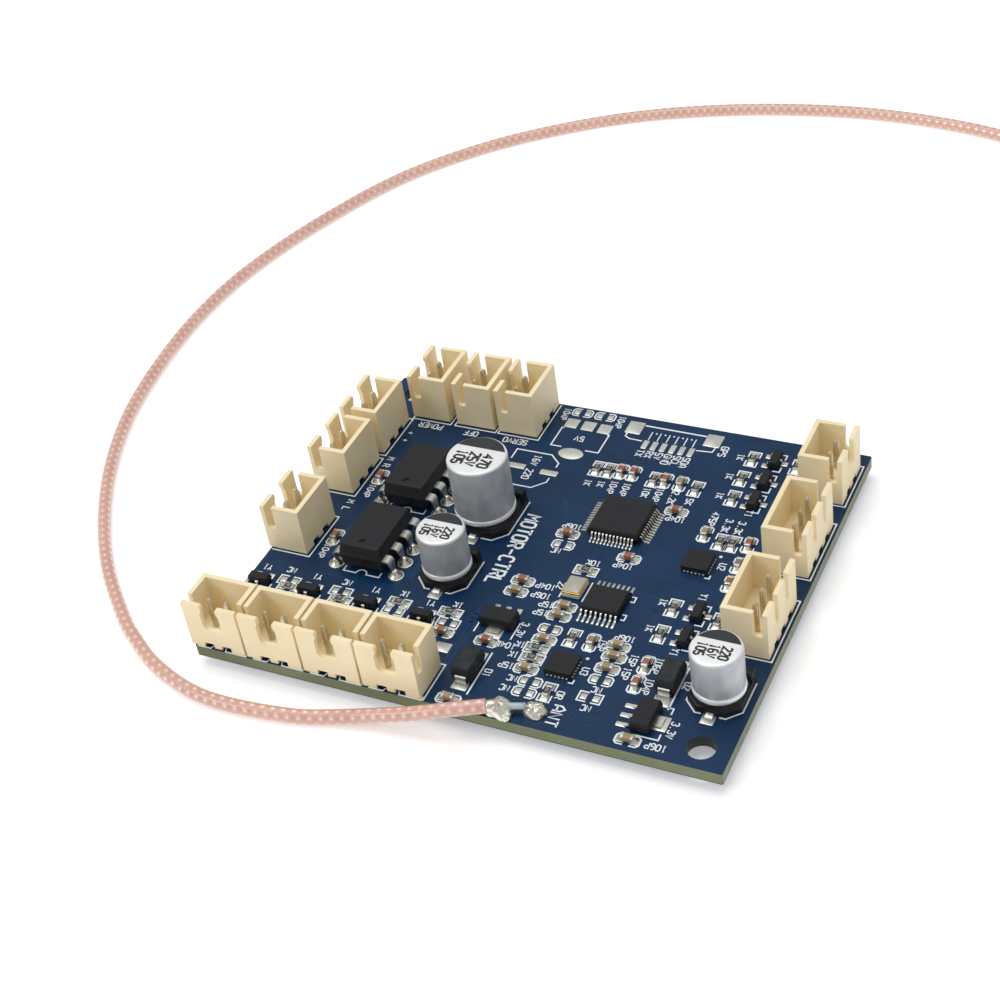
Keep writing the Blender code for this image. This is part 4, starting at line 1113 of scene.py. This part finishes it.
LABELS = [                     # word, turn and places
    ("NC", OVER, [(5.0, 16.0), (13.3, 15.95), (26.6, 13.0), (36.7, 29.2), (40.8, 6.7),
        (40.6, 5.0), (51.2, 7.9), (51.1, 4.8)]),
    ("Y1", OVER, [(1.6, 15.6), (9.0, 15.8), (17.6, 15.75), (25.5, 15.6)]),
    ("1K", OVER, [(21.6, 16.2), (29.0, 16.3), (39.4, 12.2), (39.3, 10.4)]),
    ("106P", OVER, [(36.9, 34.1), (51.2, 16.85), (38.3, 20.9), (61.0, 1.6)]),
    ("10K", OVER, [(42.3, 28.3)]),
    ("104P", OVER, [(46.1, 28.9), (49.2, 39.1), (38.2, 22.6), (37.7, 11.6)]),
    ("475P", DOWN, [(53.9, 40.5)]),
    ("3.3K", DOWN, [(56.0, 39.7), (57.7, 39.7)]),
    ("U2", DOWN, [(58.0, 32.2)]),
    ("1K", DOWN, [(53.3, 24.1), (53.4, 19.4), (53.1, 45.1), (53.0, 49.2), (53.1, 53.3),
        (35.4, 42.9), (37.2, 43.1)]),
    ("Y1", DOWN, [(57.7, 26.3), (57.7, 16.4), (57.9, 42.7)]),
    ("15P", DOWN, [(49.0, 15.0), (53.5, 11.4), (53.5, 13.7)]),
    ("U3", DOWN, [(48.7, 10.3)]),
    ("104P", DOWN, [(38.9, 42.9), (40.7, 42.9), (45.3, 43.0), (56.7, 10.2), (7.3, 33.3),
        (7.3, 20.6), (26.6, 56.0), (34.7, 56.2)]),
    ("10K", DOWN, [(43.6, 43.0)]),
    ("2.2K", DOWN, [(47.4, 43.0)]),
    ("5K", DOWN, [(49.7, 42.8)]),
    ("22", DOWN, [(40.0, 23.3)]),
    ("15P", OVER, [(39.6, 19.6), (39.5, 18.1), (39.2, 8.5)]),
    ("0R", DOWN, [(47.4, 5.8)]),
    ("106P", DOWN, [(56.6, 13.7)]),
    ("D2", DOWN, [(61.1, 11.6)]),
    ("3.3V", DOWN, [(61.9, 4.6), (38.6, 14.6)]),
    ("D1", DOWN, [(37.6, 6.6)]),
    ("+", DOWN, [(7.0, 46.3), (7.0, 44.6)]),
    ("100P", DOWN, [(60.9, 50.4), (60.9, 26.0)]),
]


def build_lettering():
    s = words([(word, x, y, turn) for word, turn, places in LABELS for x, y in places], 0.9)
    s += words([("POWER", 9.1, 48.55, OVER), ("OFF", 15.4, 48.5, OVER),
                ("SERVO", 22.2, 48.5, OVER), ("M L", 5.9, 29.8, DOWN),
                ("M R", 7.0, 39.6, DOWN), ("GPS", 50.5, 53.8, DOWN),
                ("5V", 30.6, 51.35, OVER), ("16V 220", 26.75, 43.9, DOWN)], 1.0)
    s += words([(w, 39.75 + 1.31 * k, 51.3 - .35 * len(w), DOWN) for k, w in
                enumerate(("TX", "RX", "5V", "GND", "SCL", "SDA"))], 1.0)
    s += words([("ANT", 48.2, 2.6, DOWN)], 1.5, .21, .86)
    s += words([("MOTOR-CTRL", 31.25, 28.0, DOWN)], 1.95, .33, .76)
    piece("legend_words", merged(s), [SILK], ())

BUNDLES = [                    # start, end, count, pitch and any width of its own
    (46.0, 26.2, 50.5, 33.0, 7, .42), (50.5, 24.0, 58.0, 27.5, 5, .45),
    (48.0, 41.5, 56.5, 47.0, 6, .42), (31.0, 38.5, 37.8, 37.0, 6, .42),
    (32.5, 26.0, 38.0, 34.0, 4, .5), (52.0, 41.0, 60.5, 42.0, 4, .5),
    (51.5, 21.0, 61.5, 14.5, 4, .55), (20.5, 40.0, 30.0, 37.9, 4, .6),
    (12.0, 44.5, 20.0, 43.0, 3, .8, .3), (8.0, 17.2, 20.0, 16.6, 3, .5),
    (29.5, 10.0, 33.2, 18.5, 3, .5), (53.5, 3.0, 46.5, 4.2, 3, .55),
    (52.0, 55.0, 58.0, 56.5, 3, .6), (63.5, 30.5, 60.5, 46.0, 3, .5),
    (32.0, 3.0, 32.2, 17.0, 2, .6, .35),
]
BROAD_TRACKS = ((8.3, 19.4, 8.3, 26.0, .9), (20.7, 19.0, 20.7, 38.5, .9),
                (47.9, 4.4, 47.9, 7.6, .35), (62.3, 16.0, 62.3, 44.0, .6))
VIA_COUNT = 45


def bundle(x0, y0, x1, y1, count, pitch, width=.17):
    """Tracks side by side that go straight, then at 45 degrees, then straight again. One
    that runs mainly along y is worked out along x, and its axes are swapped."""
    swap = abs(x1 - x0) < abs(y1 - y0)
    if swap:
        x0, y0, x1, y1 = y0, x0, y1, x1
    slant = abs(y1 - y0)
    lead, way = (abs(x1 - x0) - slant) / 2, np.sign(x1 - x0)
    tracks = []
    for o in pin_offsets(count, pitch):
        points = np.array([(x0, y0 + o), (x0 + way * (lead - o * .4), y0 + o),
                           (x0 + way * (lead + slant - o * .4), y1 + o), (x1, y1 + o)])
        tracks.append(ribbon(points[:, ::-1] if swap else points, width, .002, .01))
    return tracks


def build_copper():
    """Bundles of tracks under the mask, and dots of tented vias."""
    runs = [track for row in BUNDLES for track in bundle(*row)]
    runs += [ribbon([(x0, y0), (x1, y1)], w, .002, .009) for x0, y0, x1, y1, w in BROAD_TRACKS]
    piece("copper_under_mask", merged(runs), [TRACE], ())
    spots = rng.uniform((8, 2), (63, 56), (VIA_COUNT, 2))
    via = revolve([(.3, .002), (.3, .012), (.12, .014)], 12)
    piece("tented_vias", repeat(via, np.column_stack([spots, np.zeros((VIA_COUNT, 2))])), [VIA],
          ())


build_pads()
build_legend()
build_lettering()
build_copper()


# ---- aerial joints ----------------------------------------------------------
def lump(size, seed, rough, n=40):
    """Drop of solder: a flattened ball whose radius swells by a few smooth waves round
    and up it, cut flat on the board."""
    local = np.random.default_rng(seed)
    u = np.arange(n) * 2 * math.pi / n
    v = np.linspace(.02, math.pi * .5, 14)[::-1]
    U, V = np.meshgrid(u, v)
    wave = np.ones_like(U)
    for _ in range(7):
        a, b = local.integers(1, 6), local.integers(1, 5)
        wave += rough / 7 * 1.8 * np.sin(a * U + local.uniform(0, 6)) * np.sin(
            b * V + local.uniform(0, 6))
    x = size[0] / 2 * np.sin(V) ** .8 * np.cos(U) * wave
    y = size[1] / 2 * np.sin(V) ** .8 * np.sin(U) * wave
    z = size[2] * np.cos(V) * wave + .02
    return loft(np.stack([x, y, z], -1))


def build_aerial_joints():
    braid = merged([at(lump((3.4, 3.0, 1.75), 3, .2), 41.8, 1.3),
                    at(lump((1.2, 1.1, .8), 5, .4), 42.95, .55),
                    tube([(40.35, .55, 1.25), (40.9, .75, 1.2), (41.6, 1.1, 1.1)],
                         (.74, .84, .9), 18, close=True)])
    strands = []
    local = np.random.default_rng(12)
    for k in range(9):
        a = local.uniform(-1.0, .4)
        start = np.array([41.4 + .12 * k, .75 + local.uniform(-.3, .3),
                          .9 + local.uniform(-.3, .5)])
        end = start + np.array([1.3 * math.cos(a), 1.0 * math.sin(a), -start[2] + .15])
        mid = (start + end) / 2 + (0, 0, .25)
        t = np.linspace(0, 1, 8)[:, None]
        path = (1 - t) ** 2 * start + 2 * t * (1 - t) * mid + t ** 2 * end
        strands.append(tube(path, .05, 6, close=True))
    piece("braid_solder", merged([braid] + strands), [SOLDER],
          ["coax_braid_joint"], 180)
    core = lump((3.0, 2.5, 1.2), 9, .14)
    wire = tube([(44.2, 2.15, .95), (44.9, 2.25, .9), (45.5, 2.35, .75), (45.8, 2.4, .5)],
                .15, 10, close=True)
    piece("core_solder", merged([at(core, 45.8, 2.4), wire]), [SOLDER],
          ["coax_core_joint"], 180)
    rod = tube(np.linspace((42.7, 1.5, 1.05), (44.7, 2.15, 1.0), 8), .42, 18, close=True)
    piece("dielectric_stub", rod, [MILKY], ["coax_dielectric"], 60)


build_aerial_joints()

# ---- the board itself -------------------------------------------------------
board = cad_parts["circuit_board"]
for place in range(max(1, len(board.data.materials))):
    if place < len(board.data.materials):
        board.data.materials[place] = LAMINATE
    else:
        board.data.materials.append(LAMINATE)


# ---- floor and light --------------------------------------------------------
def build_floor():
    """Pale sheet far larger than the board, with a gentle rise at its far edge."""
    x = np.linspace(-1.5, 1.5, 13)
    y = np.linspace(-1.5, 1.5, 25)
    X, Y = np.meshgrid(x, y)
    Z = -0.00004 + 0.25 * np.clip(Y - 0.9, 0, None) ** 2
    verts = np.stack([X, Y, Z], -1).reshape(-1, 3)
    index = np.arange(len(verts)).reshape(X.shape)
    quads = np.stack([index[:-1, :-1], index[:-1, 1:], index[1:, 1:], index[1:, :-1]], -1)
    mesh = bpy.data.meshes.new("floor")
    mesh.from_pydata(verts.tolist(), [], quads.reshape(-1, 4).tolist())
    mesh.materials.append(finish("white_sheet", (246, 246, 247), (248, 248, 249), (0.7, 0.8),
                                 scale=4.0, relief=0.0, Emission_Strength=0.3,
                                 Emission_Color=(1.0, 1.0, 1.0, 1.0)))
    mesh.shade_smooth()
    obj = bpy.data.objects.new("floor", mesh)
    bpy.context.collection.objects.link(obj)


def add_light(name, place, aim, size, power, colour=(1, 1, 1)):
    data = bpy.data.lights.new(name, "AREA")
    data.shape, data.size, data.energy, data.color = "DISK", size, power, colour
    obj = bpy.data.objects.new(name, data)
    obj.location = place
    ray = np.array(aim) - np.array(place)
    obj.rotation_euler = (math.acos(-ray[2] / np.linalg.norm(ray)), 0,
                          math.atan2(ray[1], ray[0]) - math.pi / 2)
    bpy.context.collection.objects.link(obj)


def build_light():
    add_light("soft_top", (-0.12, 0.10, 0.75), (0, 0, 0), 0.6, 2.5)
    add_light("soft_left", (-0.5, -0.45, 0.5), (0, 0, 0), 0.4, 1.4)
    world = bpy.data.worlds.new("studio")
    world.use_nodes = True
    background = world.node_tree.nodes["Background"]
    background.inputs["Color"].default_value = (1, 1, 1, 1)
    background.inputs["Strength"].default_value = 0.52
    bpy.context.scene.world = world
    bpy.context.scene.view_settings.view_transform = "Standard"


build_floor()
build_light()
